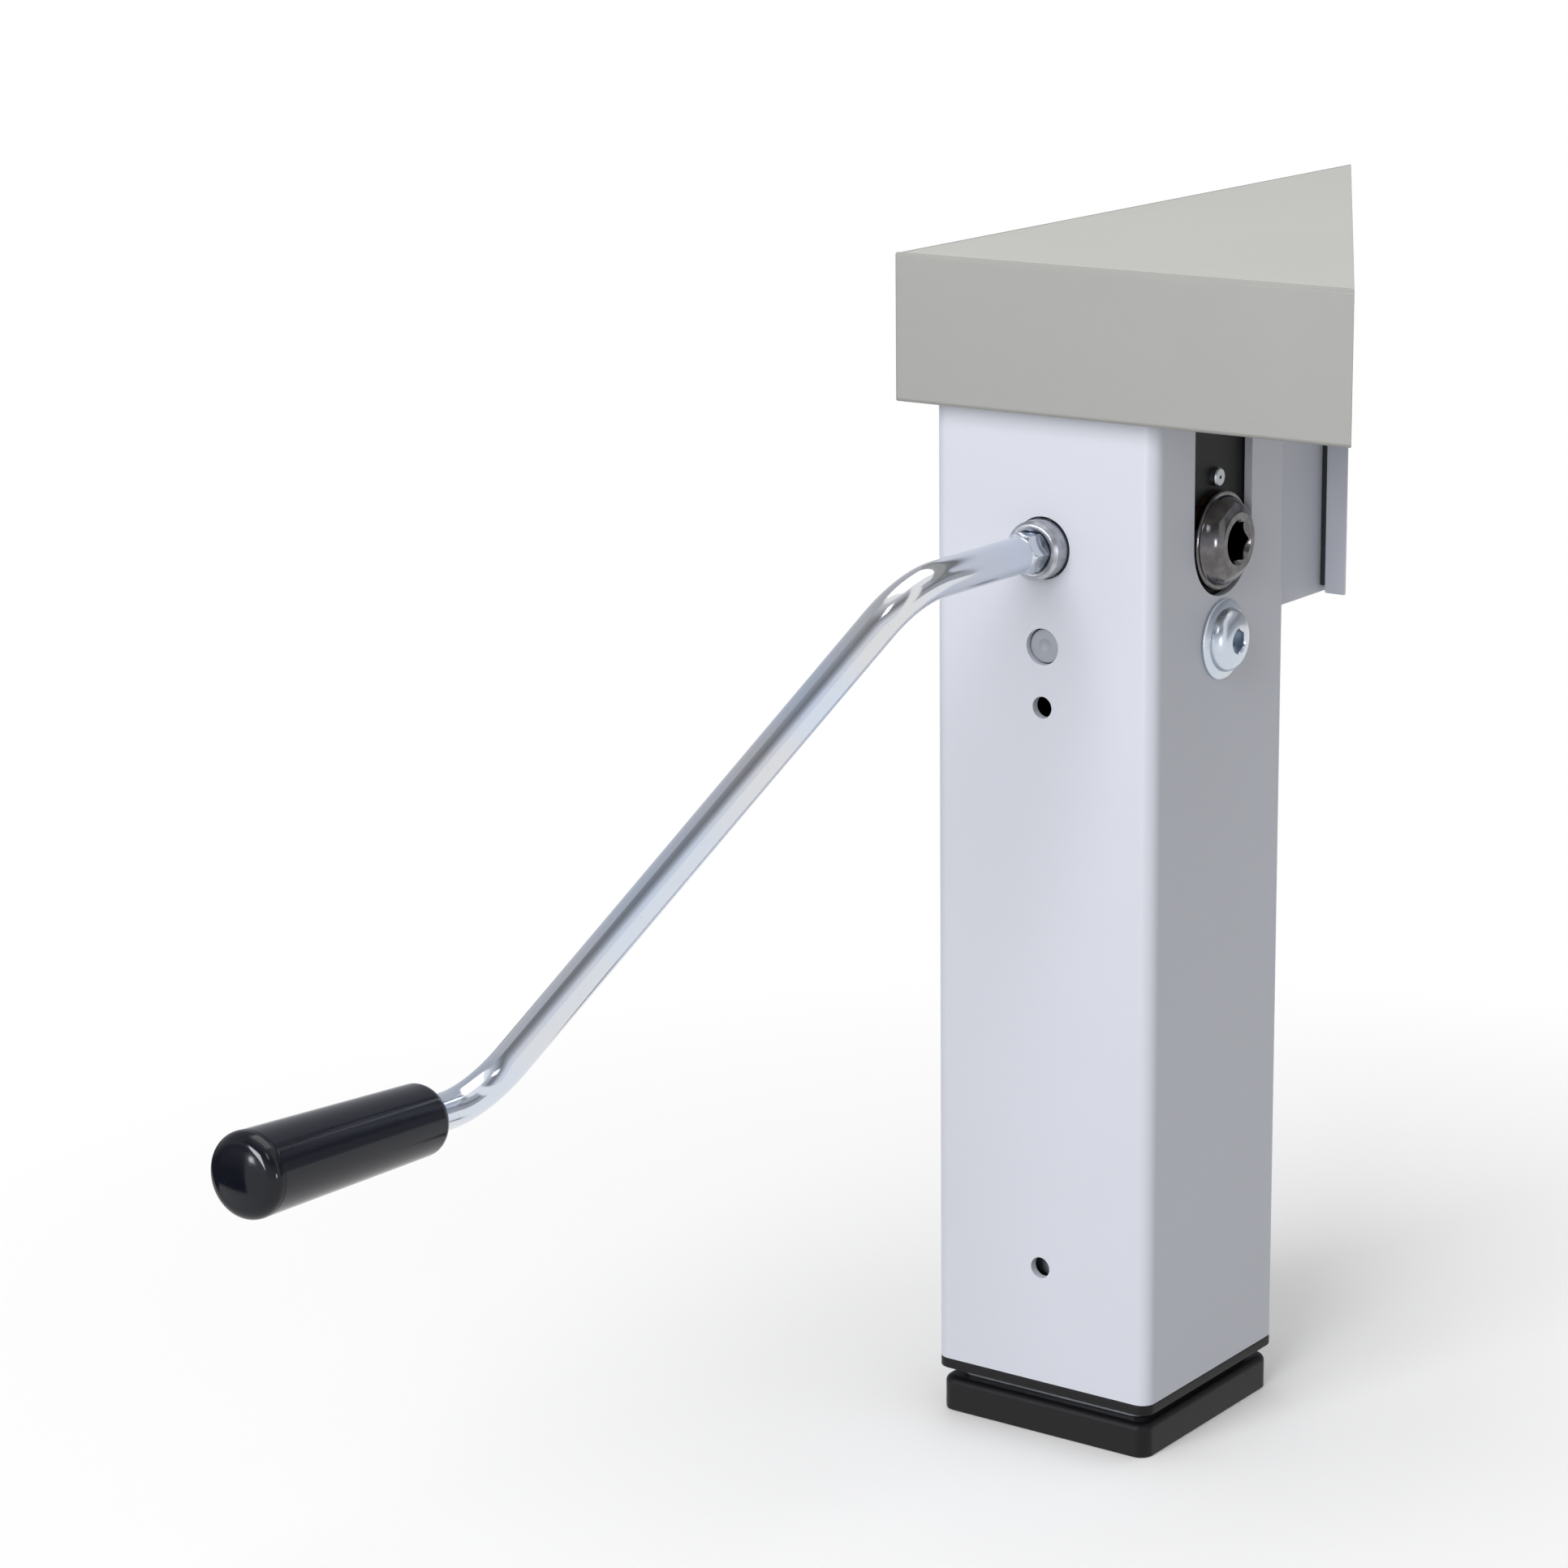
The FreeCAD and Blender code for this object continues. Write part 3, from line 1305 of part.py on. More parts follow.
def crank_corners():
    """The corners and tangent points of the bent bar, as (across, along) the crank's axis."""
    rod_start = half_leg + sleeve_stand_out + tip_stand_out
    first_corner = half_leg + crank_shaft_length
    second_corner = first_corner + crank_offset
    arm_length = root_of(crank_offset * crank_offset + crank_radius * crank_radius)
    arm_across = crank_radius / arm_length
    arm_along = crank_offset / arm_length
    tilt_across = Size(-math.sin(math.radians(shank_tilt.value)), "(0 - sin(Sizes.shank_tilt))")
    tilt_along = Size(math.cos(math.radians(shank_tilt.value)), "cos(Sizes.shank_tilt)")
    # tangent length = radius * tan(half the turn) = radius * (1 - cos(turn)) / sin(turn)
    first_tangent = bend_radius * (1 - arm_along) / arm_across
    turn_cos = arm_across * tilt_across + arm_along * tilt_along
    turn_sin = arm_across * tilt_along - arm_along * tilt_across
    second_tangent = bend_radius * (1 - turn_cos) / turn_sin
    corners = [
        (0, rod_start),
        (0, first_corner - first_tangent),
        (arm_across * first_tangent, first_corner + arm_along * first_tangent),
        (
            crank_radius - arm_across * second_tangent,
            second_corner - arm_along * second_tangent,
        ),
        (
            crank_radius + tilt_across * second_tangent,
            second_corner + tilt_along * second_tangent,
        ),
        (
            crank_radius + tilt_across * shank_length,
            second_corner + tilt_along * shank_length,
        ),
    ]
    return corners


def on_shank(thing):
    """Carries a shape made about +Z, its z = 0 at the end of the bar, to the tilted shank."""
    across, along = crank_frame()
    tilt = math.radians(shank_tilt.value)
    direction = along * math.cos(tilt) - across * math.sin(tilt)
    local_x = across * math.cos(tilt) + along * math.sin(tilt)
    end_across, end_along = crank_corners()[-1]
    placed(thing, local_x, direction, hub_height + end_across * across.z)
    return bind(thing, x=end_across * across.x, y=-end_along)


def make_crank():
    across, along = crank_frame()
    corners = crank_corners()
    rod_start = corners[0][1]

    # the six-sided tip, with its inner end bevelled, lines up with the socket of the sleeve
    tip_start = socket_end + free_gap
    tip_radius = drive_hex / root_of(as_size(3))
    bevelled = turned_profile([
        (0, tip_start),
        (drive_hex / 2 - hub_bevel, tip_start),
        (tip_radius + OVERCUT, tip_start + 2 * hub_bevel),
        (tip_radius + OVERCUT, rod_start),
        (0, rod_start),
    ])
    tip = common(bevelled, hexagon(drive_hex, (0, 0, tip_start), rod_start - tip_start))
    keep("crank_tip", placed(tip, X_AXIS, along))

    bar = doc.addObject("PartDesign::Body", "bent_bar")
    spine = sketch_in(bar, "XZ_Plane")
    chain(spine, corners, {1: -bend_radius, 3: bend_radius}, closed=False)
    section = sketch_in(bar, "XY_Plane", rod_start)
    ring(section, rod_diameter / 2)
    pipe = bar.newObject("PartDesign::AdditivePipe", "pipe")
    pipe.Profile = section
    pipe.Spine = (spine, [f"Edge{number}" for number in range(1, len(corners))])
    doc.recompute()
    bent = doc.addObject("Part::Compound", "bent")
    bent.Links = [bar]
    placed(bent, across, along)

    # the stem on which the grip turns, and the ring that keeps the grip on it
    stem_radius = stem_diameter / 2
    cap_start = glide_gap + grip_length - grip_cap_length
    clip_at = cap_start - clip_setback
    stem = on_shank(shifted(cylinder(stem_radius, (0, 0, -OVERCUT), clip_at + 2 * OVERCUT
                                     + clip_thickness)))
    keep("crank_rod", joined(bent, stem))
    clip = turned_profile([
        (stem_radius + press_gap, clip_at),
        (stem_radius + clip_width, clip_at),
        (stem_radius + clip_width, clip_at + clip_thickness),
        (stem_radius + press_gap, clip_at + clip_thickness),
    ])
    keep("grip_clip", on_shank(clip))

    # grip: tapered handle with a bevelled inner end, bored for the stem and hollow at its end
    root_radius = grip_root_diameter / 2
    end_radius = grip_end_diameter / 2
    bore = stem_radius + running_gap
    hollow = stem_radius + clip_width + free_gap
    grip = turned_profile([
        (bore, glide_gap),
        (root_radius - grip_bevel, glide_gap),
        (root_radius, glide_gap + grip_bevel),
        (end_radius, cap_start),
        (hollow, cap_start),
        (hollow, clip_at - glide_gap),
        (bore, clip_at - glide_gap),
    ], {1: grip_bevel * 1.2})
    keep("crank_grip", on_shank(grip))

    # cap: a plug in the hollow end under a round-edged, slightly crowned top
    plug_radius = hollow - press_gap
    cap_end = cap_start + grip_cap_length
    # a crown whose centre lies on the axis is part of a sphere
    flat = end_radius - grip_cap_round
    crown = (flat * flat + grip_cap_crown * grip_cap_crown) / (2 * grip_cap_crown)
    cap = turned_profile(
        [
            (0, cap_start - grip_cap_plug),
            (plug_radius, cap_start - grip_cap_plug),
            (plug_radius, cap_start),
            (end_radius, cap_start),
            (end_radius, cap_end - grip_cap_crown - grip_cap_round),
            (flat, cap_end - grip_cap_crown),
            (0, cap_end),
        ],
        {4: grip_cap_round, 5: crown},
    )
    keep("grip_cap", on_shank(cap))


def shifted(*things):
    """Wraps shapes, so that the wrapper can be placed without moving them in their own frame."""
    carrier = doc.addObject("Part::Compound", "shifted")
    carrier.Links = list(things)
    return carrier


# ---------------------------------------------------------------------------------------
# Rails under the worktop
# ---------------------------------------------------------------------------------------
def make_rails():
    rail_bottom = underside_height - rail_height

    # cross rail: welded to the back of the leg and cut off on the slant
    cross = new_body("cross_rail")
    corners = [
        (rail_left, half_leg),
        (rail_right, half_leg),
        (rail_right, cut_line_y(rail_right)),
        (rail_left, cut_line_y(rail_left)),
    ]
    sketch = outline(sketch_in(cross, "XY_Plane", rail_bottom), corners)
    pad(cross, sketch, rail_height)
    corners = [
        (rail_left + rail_wall, rail_bottom + rail_wall),
        (rail_right - rail_wall, rail_bottom + rail_wall),
        (rail_right - rail_wall, underside_height - rail_wall),
        (rail_left + rail_wall, underside_height - rail_wall),
    ]
    hollow = outline(sketch_in(cross, "XZ_Plane", -half_leg), corners)
    pocket(cross, hollow, worktop_back)
    # a screw hole in its top and a wide hole under it for the screwdriver
    sketch = ring(
        sketch_in(cross, "XY_Plane", underside_height),
        wood_screw_diameter / 2 + press_gap,
        rail_screw_place,
    )
    pocket(cross, sketch, 2 * rail_wall)
    access = sketch_in(cross, "XY_Plane", rail_bottom)
    sketch = ring(access, access_hole_diameter / 2, rail_screw_place)
    pocket(cross, sketch, 2 * rail_wall, reverse=True)

    screw = round_head_screw(wood_screw_diameter, wood_screw_length, height_ratio=0.6)
    head_face = underside_height - rail_wall
    x, y = rail_screw_place
    keep("rail_screw", copy_at(screw, x, y, head_face, turn_over=True))

    # plate between the rails, set back from both, then the long rail off to the right
    plate = new_body("rail_joint_plate")
    plate_front = rail_face + joint_plate_inset
    corners = [
        (rail_right, plate_front),
        (plate_right, plate_front),
        (plate_right, cut_line_y(plate_right)),
        (rail_right, cut_line_y(rail_right)),
    ]
    plate_bottom = rail_bottom + joint_plate_margin
    sketch = outline(sketch_in(plate, "XY_Plane", plate_bottom), corners)
    pad(plate, sketch, rail_height - joint_plate_margin)

    long_rail = new_body("long_rail")
    corners = [
        (plate_right, rail_face),
        (cut_line_x(rail_face), rail_face),
        (plate_right, cut_line_y(plate_right)),
    ]
    sketch = outline(sketch_in(long_rail, "XY_Plane", rail_bottom), corners)
    pad(long_rail, sketch, rail_height)
    inner_front = rail_face + rail_wall
    corners = [
        (inner_front, rail_bottom + rail_wall),
        (worktop_back, rail_bottom + rail_wall),
        (worktop_back, underside_height - rail_wall),
        (inner_front, underside_height - rail_wall),
    ]
    hollow = outline(sketch_in(long_rail, "YZ_Plane", plate_right), corners)
    pocket(long_rail, hollow, worktop_right, reverse=True)


# ---------------------------------------------------------------------------------------
# Build, check and write
# ---------------------------------------------------------------------------------------
def check_document():
    """Stops if anything in the document failed or a sub-part isn't a valid solid."""
    for thing in doc.Objects:
        if "Invalid" in thing.State or "Error" in thing.State:
            raise RuntimeError(f"{thing.Name} ({thing.Label}) failed: {thing.State}")
    for label, thing in sub_parts:
        shape = thing.Shape
        if shape.isNull() or not shape.isValid() or not shape.Solids:
            raise RuntimeError(f"{label} isn't a valid solid")


def write_sub_parts():
    os.makedirs("parts", exist_ok=True)
    for label, thing in sub_parts:
        thing.Shape.exportStep(f"parts/{label}.step")


make_worktop()
make_outer_leg()
make_lower_glide()
make_inner_leg()
make_drives()
make_spindle()
make_thrust_bearing()
make_gearbox()
make_head_plate()
make_crank()
make_rails()
doc.recompute()
check_document()
write_sub_parts()
print(f"{len(sub_parts)} sub-parts written")
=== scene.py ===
"""Looks of a workbench corner: a worktop on a telescopic leg, with a plug-in hand crank.

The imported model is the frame: its nodes give every place and most sizes.  Each sub-assembly
below dresses its own nodes with finishes and puts finer pieces where the plain solids are
too coarse.  Lengths are in metres, +Z is up, and the crank comes out of the -Y face of the leg.
"""

from __future__ import annotations

import json
import logging
import math
from dataclasses import dataclass, field
from enum import Enum
from typing import Any, Sequence

import bmesh
import bpy
from mathutils import Matrix, Vector

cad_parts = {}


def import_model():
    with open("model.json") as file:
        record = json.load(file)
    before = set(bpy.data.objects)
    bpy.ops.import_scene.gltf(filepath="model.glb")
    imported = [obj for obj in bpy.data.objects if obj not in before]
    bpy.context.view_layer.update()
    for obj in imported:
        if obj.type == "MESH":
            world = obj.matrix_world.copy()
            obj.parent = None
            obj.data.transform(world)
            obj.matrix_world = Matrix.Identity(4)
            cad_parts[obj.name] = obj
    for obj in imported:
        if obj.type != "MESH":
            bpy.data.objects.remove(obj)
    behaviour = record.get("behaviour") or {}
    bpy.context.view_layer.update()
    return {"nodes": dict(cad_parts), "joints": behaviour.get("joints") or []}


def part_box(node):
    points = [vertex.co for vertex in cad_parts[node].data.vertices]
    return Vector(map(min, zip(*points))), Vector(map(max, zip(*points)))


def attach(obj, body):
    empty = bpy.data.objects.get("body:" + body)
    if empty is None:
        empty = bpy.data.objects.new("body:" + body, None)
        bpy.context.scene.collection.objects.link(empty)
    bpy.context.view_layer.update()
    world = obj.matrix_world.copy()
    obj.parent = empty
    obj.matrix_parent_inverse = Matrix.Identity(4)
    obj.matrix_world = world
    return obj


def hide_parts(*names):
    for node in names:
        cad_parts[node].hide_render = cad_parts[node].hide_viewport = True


LOG = logging.getLogger("workbench_corner")
MM = 0.001
X_AXIS = Vector((1, 0, 0))
Y_AXIS = Vector((0, 1, 0))
Z_AXIS = Vector((0, 0, 1))

Colour = tuple[float, float, float]
Piece = bpy.types.Object


# ---------------------------------------------------------------------------------------
# Node trees
# ---------------------------------------------------------------------------------------
class Wire:
    """An output socket with arithmetic: an expression on wires adds the Math nodes for it."""

    def __init__(self, tree: "Tree", socket: bpy.types.NodeSocket) -> None:
        """Wraps one output socket of a tree."""
        self.tree = tree
        self.socket = socket

    def math(self, operation: str, *others: Any, clamp: bool = False) -> "Wire":
        """Adds a Math node.

        Args:
            operation: the Math node's operation.
            others: the further operands, as wires or numbers.
            clamp: whether the result is kept between 0 and 1.

        Returns:
            The result's wire.
        """
        operands = dict(enumerate((self, *others)))
        settings = {"operation": operation, "use_clamp": clamp}
        return self.tree.add("ShaderNodeMath", settings, operands)

    def __add__(self, other: Any) -> "Wire":
        """Returns self + other."""
        return self.math("ADD", other)

    def __sub__(self, other: Any) -> "Wire":
        """Returns self - other."""
        return self.math("SUBTRACT", other)

    def __mul__(self, other: Any) -> "Wire":
        """Returns self * other."""
        return self.math("MULTIPLY", other)

    def __truediv__(self, other: Any) -> "Wire":
        """Returns self / other."""
        return self.math("DIVIDE", other)

    def __radd__(self, other: float) -> "Wire":
        """Returns other + self."""
        return self.math("ADD", other)

    def __rmul__(self, other: float) -> "Wire":
        """Returns other * self."""
        return self.math("MULTIPLY", other)

    def __rsub__(self, other: float) -> "Wire":
        """Returns other - self."""
        return self.tree.add("ShaderNodeMath", {"operation": "SUBTRACT"}, {0: other, 1: self})

    def ranged(self, low: float, high: float) -> "Wire":
        """Maps low..high to 0..1 and clamps it.

        Args:
            low: the value that becomes 0.
            high: the value that becomes 1.

        Returns:
            The mapped wire.
        """
        return ((self - low) * (1 / (high - low))).math("ADD", 0.0, clamp=True)


class Tree:
    """A shader or geometry tree under construction."""

    def __init__(self, tree: bpy.types.NodeTree) -> None:
        """Starts from an empty tree."""
        self.tree = tree
        tree.nodes.clear()

    def add(
        self,
        kind: str,
        settings: dict[str, Any] | None = None,
        inputs: dict[Any, Any] | None = None,
        output: Any = 0,
    ) -> Wire:
        """Adds any node.

        Args:
            kind: the node's type.
            settings: the node's own properties, set before its sockets; "stops" is a ramp's.
            inputs: a value or a wire for each socket, by number, name or identifier.
            output: the number or name of the output that is wanted.

        Returns:
            The wire of that output.
        """
        node = self.tree.nodes.new(kind)
        for name, value in (settings or {}).items():
            if name == "stops":
                self.set_stops(node.color_ramp, value)
            else:
                setattr(node, name, value)
        for key, value in (inputs or {}).items():
            socket = self.find(node.inputs, key)
            if isinstance(value, Wire):
                self.tree.links.new(value.socket, socket)
            else:
                socket.default_value = value
        if not len(node.outputs):
            return Wire(self, None)
        return Wire(self, self.find(node.outputs, output))

    @staticmethod
    def find(sockets: Any, key: Any) -> bpy.types.NodeSocket:
        """Finds a socket by its number, identifier or name."""
        if isinstance(key, int):
            return sockets[key]
        for socket in sockets:
            if socket.identifier == key:
                return socket
        return sockets[key]

    @staticmethod
    def set_stops(ramp: bpy.types.ColorRamp, stops: Sequence[tuple[float, Colour]]) -> None:
        """Gives a colour ramp its stops, as (position, colour) pairs."""
        while len(ramp.elements) < len(stops):
            ramp.elements.new(1.0)
        for element, (position, colour) in zip(ramp.elements, stops):
            element.position = position
            element.color = (*colour, 1.0)

    def vector_math(self, operation: str, *operands: Any) -> Wire:
        """Adds a Vector Math node.

        Args:
            operation: the node's operation.
            operands: vectors or wires.

        Returns:
            The result's wire, which is a number for LENGTH and a vector for the rest.
        """
        output = "Value" if operation == "LENGTH" else "Vector"
        settings = {"operation": operation}
        return self.add("ShaderNodeVectorMath", settings, dict(enumerate(operands)), output)

    def mix(self, factor: Any, first: Any, second: Any) -> Wire:
        """Mixes two colours.

        Args:
            factor: 0 for the first colour, 1 for the second.
            first: a colour or a wire.
            second: a colour or a wire.

        Returns:
            The mixed colour's wire.
        """
        colours = [(*item, 1.0) if isinstance(item, tuple) else item for item in (first, second)]
        sockets = {"Factor_Float": factor, "A_Color": colours[0], "B_Color": colours[1]}
        return self.add("ShaderNodeMix", {"data_type": "RGBA"}, sockets, "Result_Color")


class Surface(Tree):
    """The shader tree of one finish."""

    def __init__(self, name: str) -> None:
        """Starts a material whose pattern lies in the object's own coordinates."""
        self.material = bpy.data.materials.new(name)
        self.material.use_nodes = True
        super().__init__(self.material.node_tree)
        self.place = self.add("ShaderNodeTexCoord", output="Object")

    def stretched(self, scale: Sequence[float]) -> Wire:
        """Scales the place along each axis, for grain that runs one way."""
        return self.add("ShaderNodeMapping", None, {"Vector": self.place, "Scale": tuple(scale)})

    def noise(self, size: float, detail: float = 2.0, place: Wire | None = None) -> Wire:
        """Adds a noise pattern.

        Args:
            size: the size of its features in metres.
            detail: how many finer layers it has.
            place: where it is read, or None for the plain place.

        Returns:
            The pattern's wire, around 0.5.
        """
        inputs = {"Vector": place or self.place, "Scale": 1 / size, "Detail": detail}
        return self.add("ShaderNodeTexNoise", {"noise_dimensions": "3D"}, inputs)

    def cells(self, size: float, output: str = "Distance", place: Wire | None = None) -> Wire:
        """Adds a cell pattern whose cells have the given size in metres."""
        inputs = {"Vector": place or self.place, "Scale": 1 / size}
        return self.add("ShaderNodeTexVoronoi", None, inputs, output)

    def distance_from(self, axis: Sequence[float]) -> Wire:
        """Gives the distance from the line through the origin along an axis."""
        return self.vector_math("LENGTH", self.vector_math("CROSS_PRODUCT", self.place, axis))

    def finish(
        self,
        colour: Wire,
        roughness: Wire,
        height: Wire,
        relief: float,
        fixed: dict[str, float] | None = None,
    ) -> bpy.types.Material:
        """Ends the tree in a Principled shader.

        Args:
            colour: the base colour's wire.
            roughness: the roughness's wire.
            height: the surface's relief, 0..1.
            relief: how deep that relief is, in metres.
            fixed: the sockets that have one value all over the surface.

        Returns:
            The finished material.
        """
        bump = {"Height": height, "Distance": relief, "Strength": 1.0}
        normal = self.add("ShaderNodeBump", None, bump)
        inputs = {"Base Color": colour, "Roughness": roughness, "Normal": normal}
        shader = self.add("ShaderNodeBsdfPrincipled", None, {**inputs, **(fixed or {})})
        self.add("ShaderNodeOutputMaterial", None, {"Surface": shader})
        return self.material


# ---------------------------------------------------------------------------------------
# Finishes
# ---------------------------------------------------------------------------------------
def shade(red: int, green: int, blue: int) -> Colour:
    """Turns a paint maker's 0-255 shade into a shader colour."""

    def linear(level: int) -> float:
        """Takes the screen's curve off one channel."""
        value = level / 255
        return value / 12.92 if value <= 0.04045 else ((value + 0.055) / 1.055) ** 2.4

    return linear(red), linear(green), linear(blue)


def scaled(colour: Colour, factor: float) -> Colour:
    """Makes a colour lighter or darker by a factor."""
    return colour[0] * factor, colour[1] * factor, colour[2] * factor


@dataclass(frozen=True)
class Finish:
    """What every finish has: its slot in the record, its colour and its roughness."""

    slot: str
    colour: Colour
    roughness: float
    variant: str = ""

    def material(self) -> bpy.types.Material:
        """Returns this finish's material, made the first time that it is asked for."""
        name = f"finish_{self.slot}{self.variant}"
        return bpy.data.materials.get(name) or self.paint(Surface(name))

    def paint(self, surface: Surface) -> bpy.types.Material:
        """Draws the finish on an empty surface and returns the material."""
        raise NotImplementedError


@dataclass(frozen=True)
class PowderCoat(Finish):
    """Baked powder paint: a fine orange peel over a faint cloudiness."""

    peel: float = 0.9 * MM

    def paint(self, surface: Surface) -> bpy.types.Material:
        """Draws the peel, the clouds and a few fine specks."""
        peel = surface.noise(self.peel, 1.0)
        cloud = surface.noise(60 * MM, 2.0)
        specks = surface.noise(0.35 * MM, 0.0).ranged(0.72, 0.8)
        tone = surface.mix(cloud, scaled(self.colour, 0.975), scaled(self.colour, 1.02))
        tone = surface.mix(specks * 0.12, tone, scaled(self.colour, 0.8))
        gloss = self.roughness + (cloud - 0.5) * 0.08 + (peel - 0.5) * 0.06
        return surface.finish(tone, gloss, peel, 0.006 * MM, {"Specular IOR Level": 0.45})


@dataclass(frozen=True)
class Laminate(Finish):
    """Pressed laminate or edging: matt, with a pearl texture and hardly visible specks."""

    pearl: float = 0.55 * MM

    def paint(self, surface: Surface) -> bpy.types.Material:
        """Draws the pearl texture and the specks."""
        pearl = surface.noise(self.pearl, 1.5)
        specks = surface.cells(0.9 * MM).ranged(0.32, 0.1)
        cloud = surface.noise(35 * MM, 3.0)
        tone = surface.mix(cloud, scaled(self.colour, 0.965), scaled(self.colour, 1.035))
        tone = surface.mix(specks * 0.1, tone, scaled(self.colour, 0.78))
        gloss = self.roughness + (pearl - 0.5) * 0.2
        return surface.finish(tone, gloss, pearl, 0.012 * MM)


@dataclass(frozen=True)
class Chipboard(Finish):
    """Pressed wood chips: pale coarse chips in the middle, darker fines between them."""

    chip: float = 2.2 * MM
    dark: Colour = shade(140, 104, 66)
    straw: Colour = shade(214, 186, 140)

    def paint(self, surface: Surface) -> bpy.types.Material:
        """Draws flat chips that lie along the board."""
        lying = surface.stretched((0.45, 0.45, 1.5))
        chips = surface.cells(self.chip, "Color", lying)
        edges = surface.cells(self.chip, "Distance", lying)
        fines = surface.noise(0.7 * MM, 3.0)
        split = surface.add("ShaderNodeSeparateColor", None, {"Color": chips}, "Red")
        tone = surface.mix(split, self.colour, self.straw)
        tone = surface.mix(split.ranged(0.82, 0.95) * 0.7, tone, self.dark)
        tone = surface.mix(fines.ranged(0.52, 0.75) * 0.55, tone, self.dark)
        height = split * 0.5 + fines * 0.4 - edges * 0.4
        return surface.finish(tone, self.roughness + (fines - 0.5) * 0.2, height, 0.25 * MM)


@dataclass(frozen=True)
class Moulded(Finish):
    """Moulded plastic: a spark-eroded grain, dull with slight scuffs."""

    def paint(self, surface: Surface) -> bpy.types.Material:
        """Draws the grain and the scuffs."""
        grain = surface.noise(0.35 * MM, 1.0)
        scuffs = surface.noise(9 * MM, 5.0).ranged(0.6, 0.8)
        tone = surface.mix(scuffs * 0.5, self.colour, scaled(self.colour, 1.7))
        gloss = self.roughness + scuffs * 0.12 + (grain - 0.5) * 0.15
        return surface.finish(tone, gloss, grain, 0.02 * MM, {"Specular IOR Level": 0.22})


@dataclass(frozen=True)
class Polished(Finish):
    """Glossy moulded plastic with a polished mould's waviness and hairline scratches."""

    def paint(self, surface: Surface) -> bpy.types.Material:
        """Draws the waviness and the hairlines."""
        waves = surface.noise(4 * MM, 1.0)
        hairs = surface.noise(0.5 * MM, 2.0, surface.stretched((1.0, 0.06, 1.0)))
        scratches = hairs.ranged(0.66, 0.76)
        tone = surface.mix(waves, self.colour, scaled(self.colour, 1.35))
        gloss = self.roughness + (waves - 0.5) * 0.05 + scratches * 0.12
        height = waves * 0.8 + scratches * 0.2
        return surface.finish(tone, gloss, height, 0.006 * MM, {"Specular IOR Level": 0.32})


@dataclass(frozen=True)
class Plated(Finish):
    """Bright plating: a mirror with clouds, faint blue and straw tints, pits and slow waves."""

    blue: Colour = shade(205, 218, 230)
    straw: Colour = shade(224, 217, 204)
    clouding: float = 0.1

    def paint(self, surface: Surface) -> bpy.types.Material:
        """Draws the clouds, the tints, the pits and the waves."""
        cloud = surface.noise(14 * MM, 3.0)
        tint = surface.noise(30 * MM, 1.0)
        pits = surface.noise(1.8 * MM, 2.0).ranged(0.64, 0.8)
        tone = surface.mix(tint.ranged(0.35, 0.65), self.blue, self.straw)
        tone = surface.mix(0.6, tone, self.colour)
        tone = surface.mix(pits * 0.2, tone, scaled(self.colour, 0.6))
        gloss = self.roughness + cloud.ranged(0.35, 0.75) * self.clouding + pits * 0.04
        waves = surface.noise(7 * MM, 1.0)
        return surface.finish(tone, gloss, waves, 0.008 * MM, {"Metallic": 1.0})


@dataclass(frozen=True)
class Drawn(Finish):
    """Drawn or ground steel: fine upright lines under an oily film."""

    def paint(self, surface: Surface) -> bpy.types.Material:
        """Draws the lines and the film."""
        lines = surface.noise(0.3 * MM, 3.0, surface.stretched((1.0, 1.0, 0.02)))
        film = surface.noise(22 * MM, 3.0)
        tone = surface.mix(film, scaled(self.colour, 0.92), scaled(self.colour, 1.05))
        tone = surface.mix(lines.ranged(0.4, 0.8) * 0.4, tone, scaled(self.colour, 1.4))
        gloss = self.roughness + (lines - 0.5) * 0.25 + film.ranged(0.4, 0.7) * 0.04
        return surface.finish(tone, gloss, lines, 0.004 * MM, {"Metallic": 1.0})


@dataclass(frozen=True)
class Lathed(Finish):
    """Steel turned on a lathe: fine tool marks at even distances from a line along an axis."""

    axis: tuple[float, float, float] = (0.0, 0.0, 1.0)
    feed: float = 0.28 * MM

    def paint(self, surface: Surface) -> bpy.types.Material:
        """Draws the tool marks and the stains."""
        distance = surface.distance_from(self.axis)
        marks = (distance * (2 * math.pi / self.feed)).math("SINE") * 0.5 + 0.5
        stain = surface.noise(3 * MM, 4.0)
        tone = surface.mix(stain.ranged(0.35, 0.7), self.colour, scaled(self.colour, 0.6))
        gloss = self.roughness + (marks - 0.5) * 0.1 + (stain - 0.5) * 0.15
        height = marks * 0.6 + stain * 0.4
        return surface.finish(tone, gloss, height, 0.006 * MM, {"Metallic": 1.0})


@dataclass(frozen=True)
class Sintered(Finish):
    """Sintered bronze: open grains soaked with oil."""

    def paint(self, surface: Surface) -> bpy.types.Material:
        """Draws the grains and the oil."""
        grains = surface.cells(0.4 * MM)
        oil = surface.noise(6 * MM, 3.0).ranged(0.4, 0.7)
        tone = surface.mix(oil * 0.6, self.colour, scaled(self.colour, 0.45))
        gloss = self.roughness - oil * 0.12 + grains * 0.2
        return surface.finish(tone, gloss, grains, 0.02 * MM, {"Metallic": 1.0})


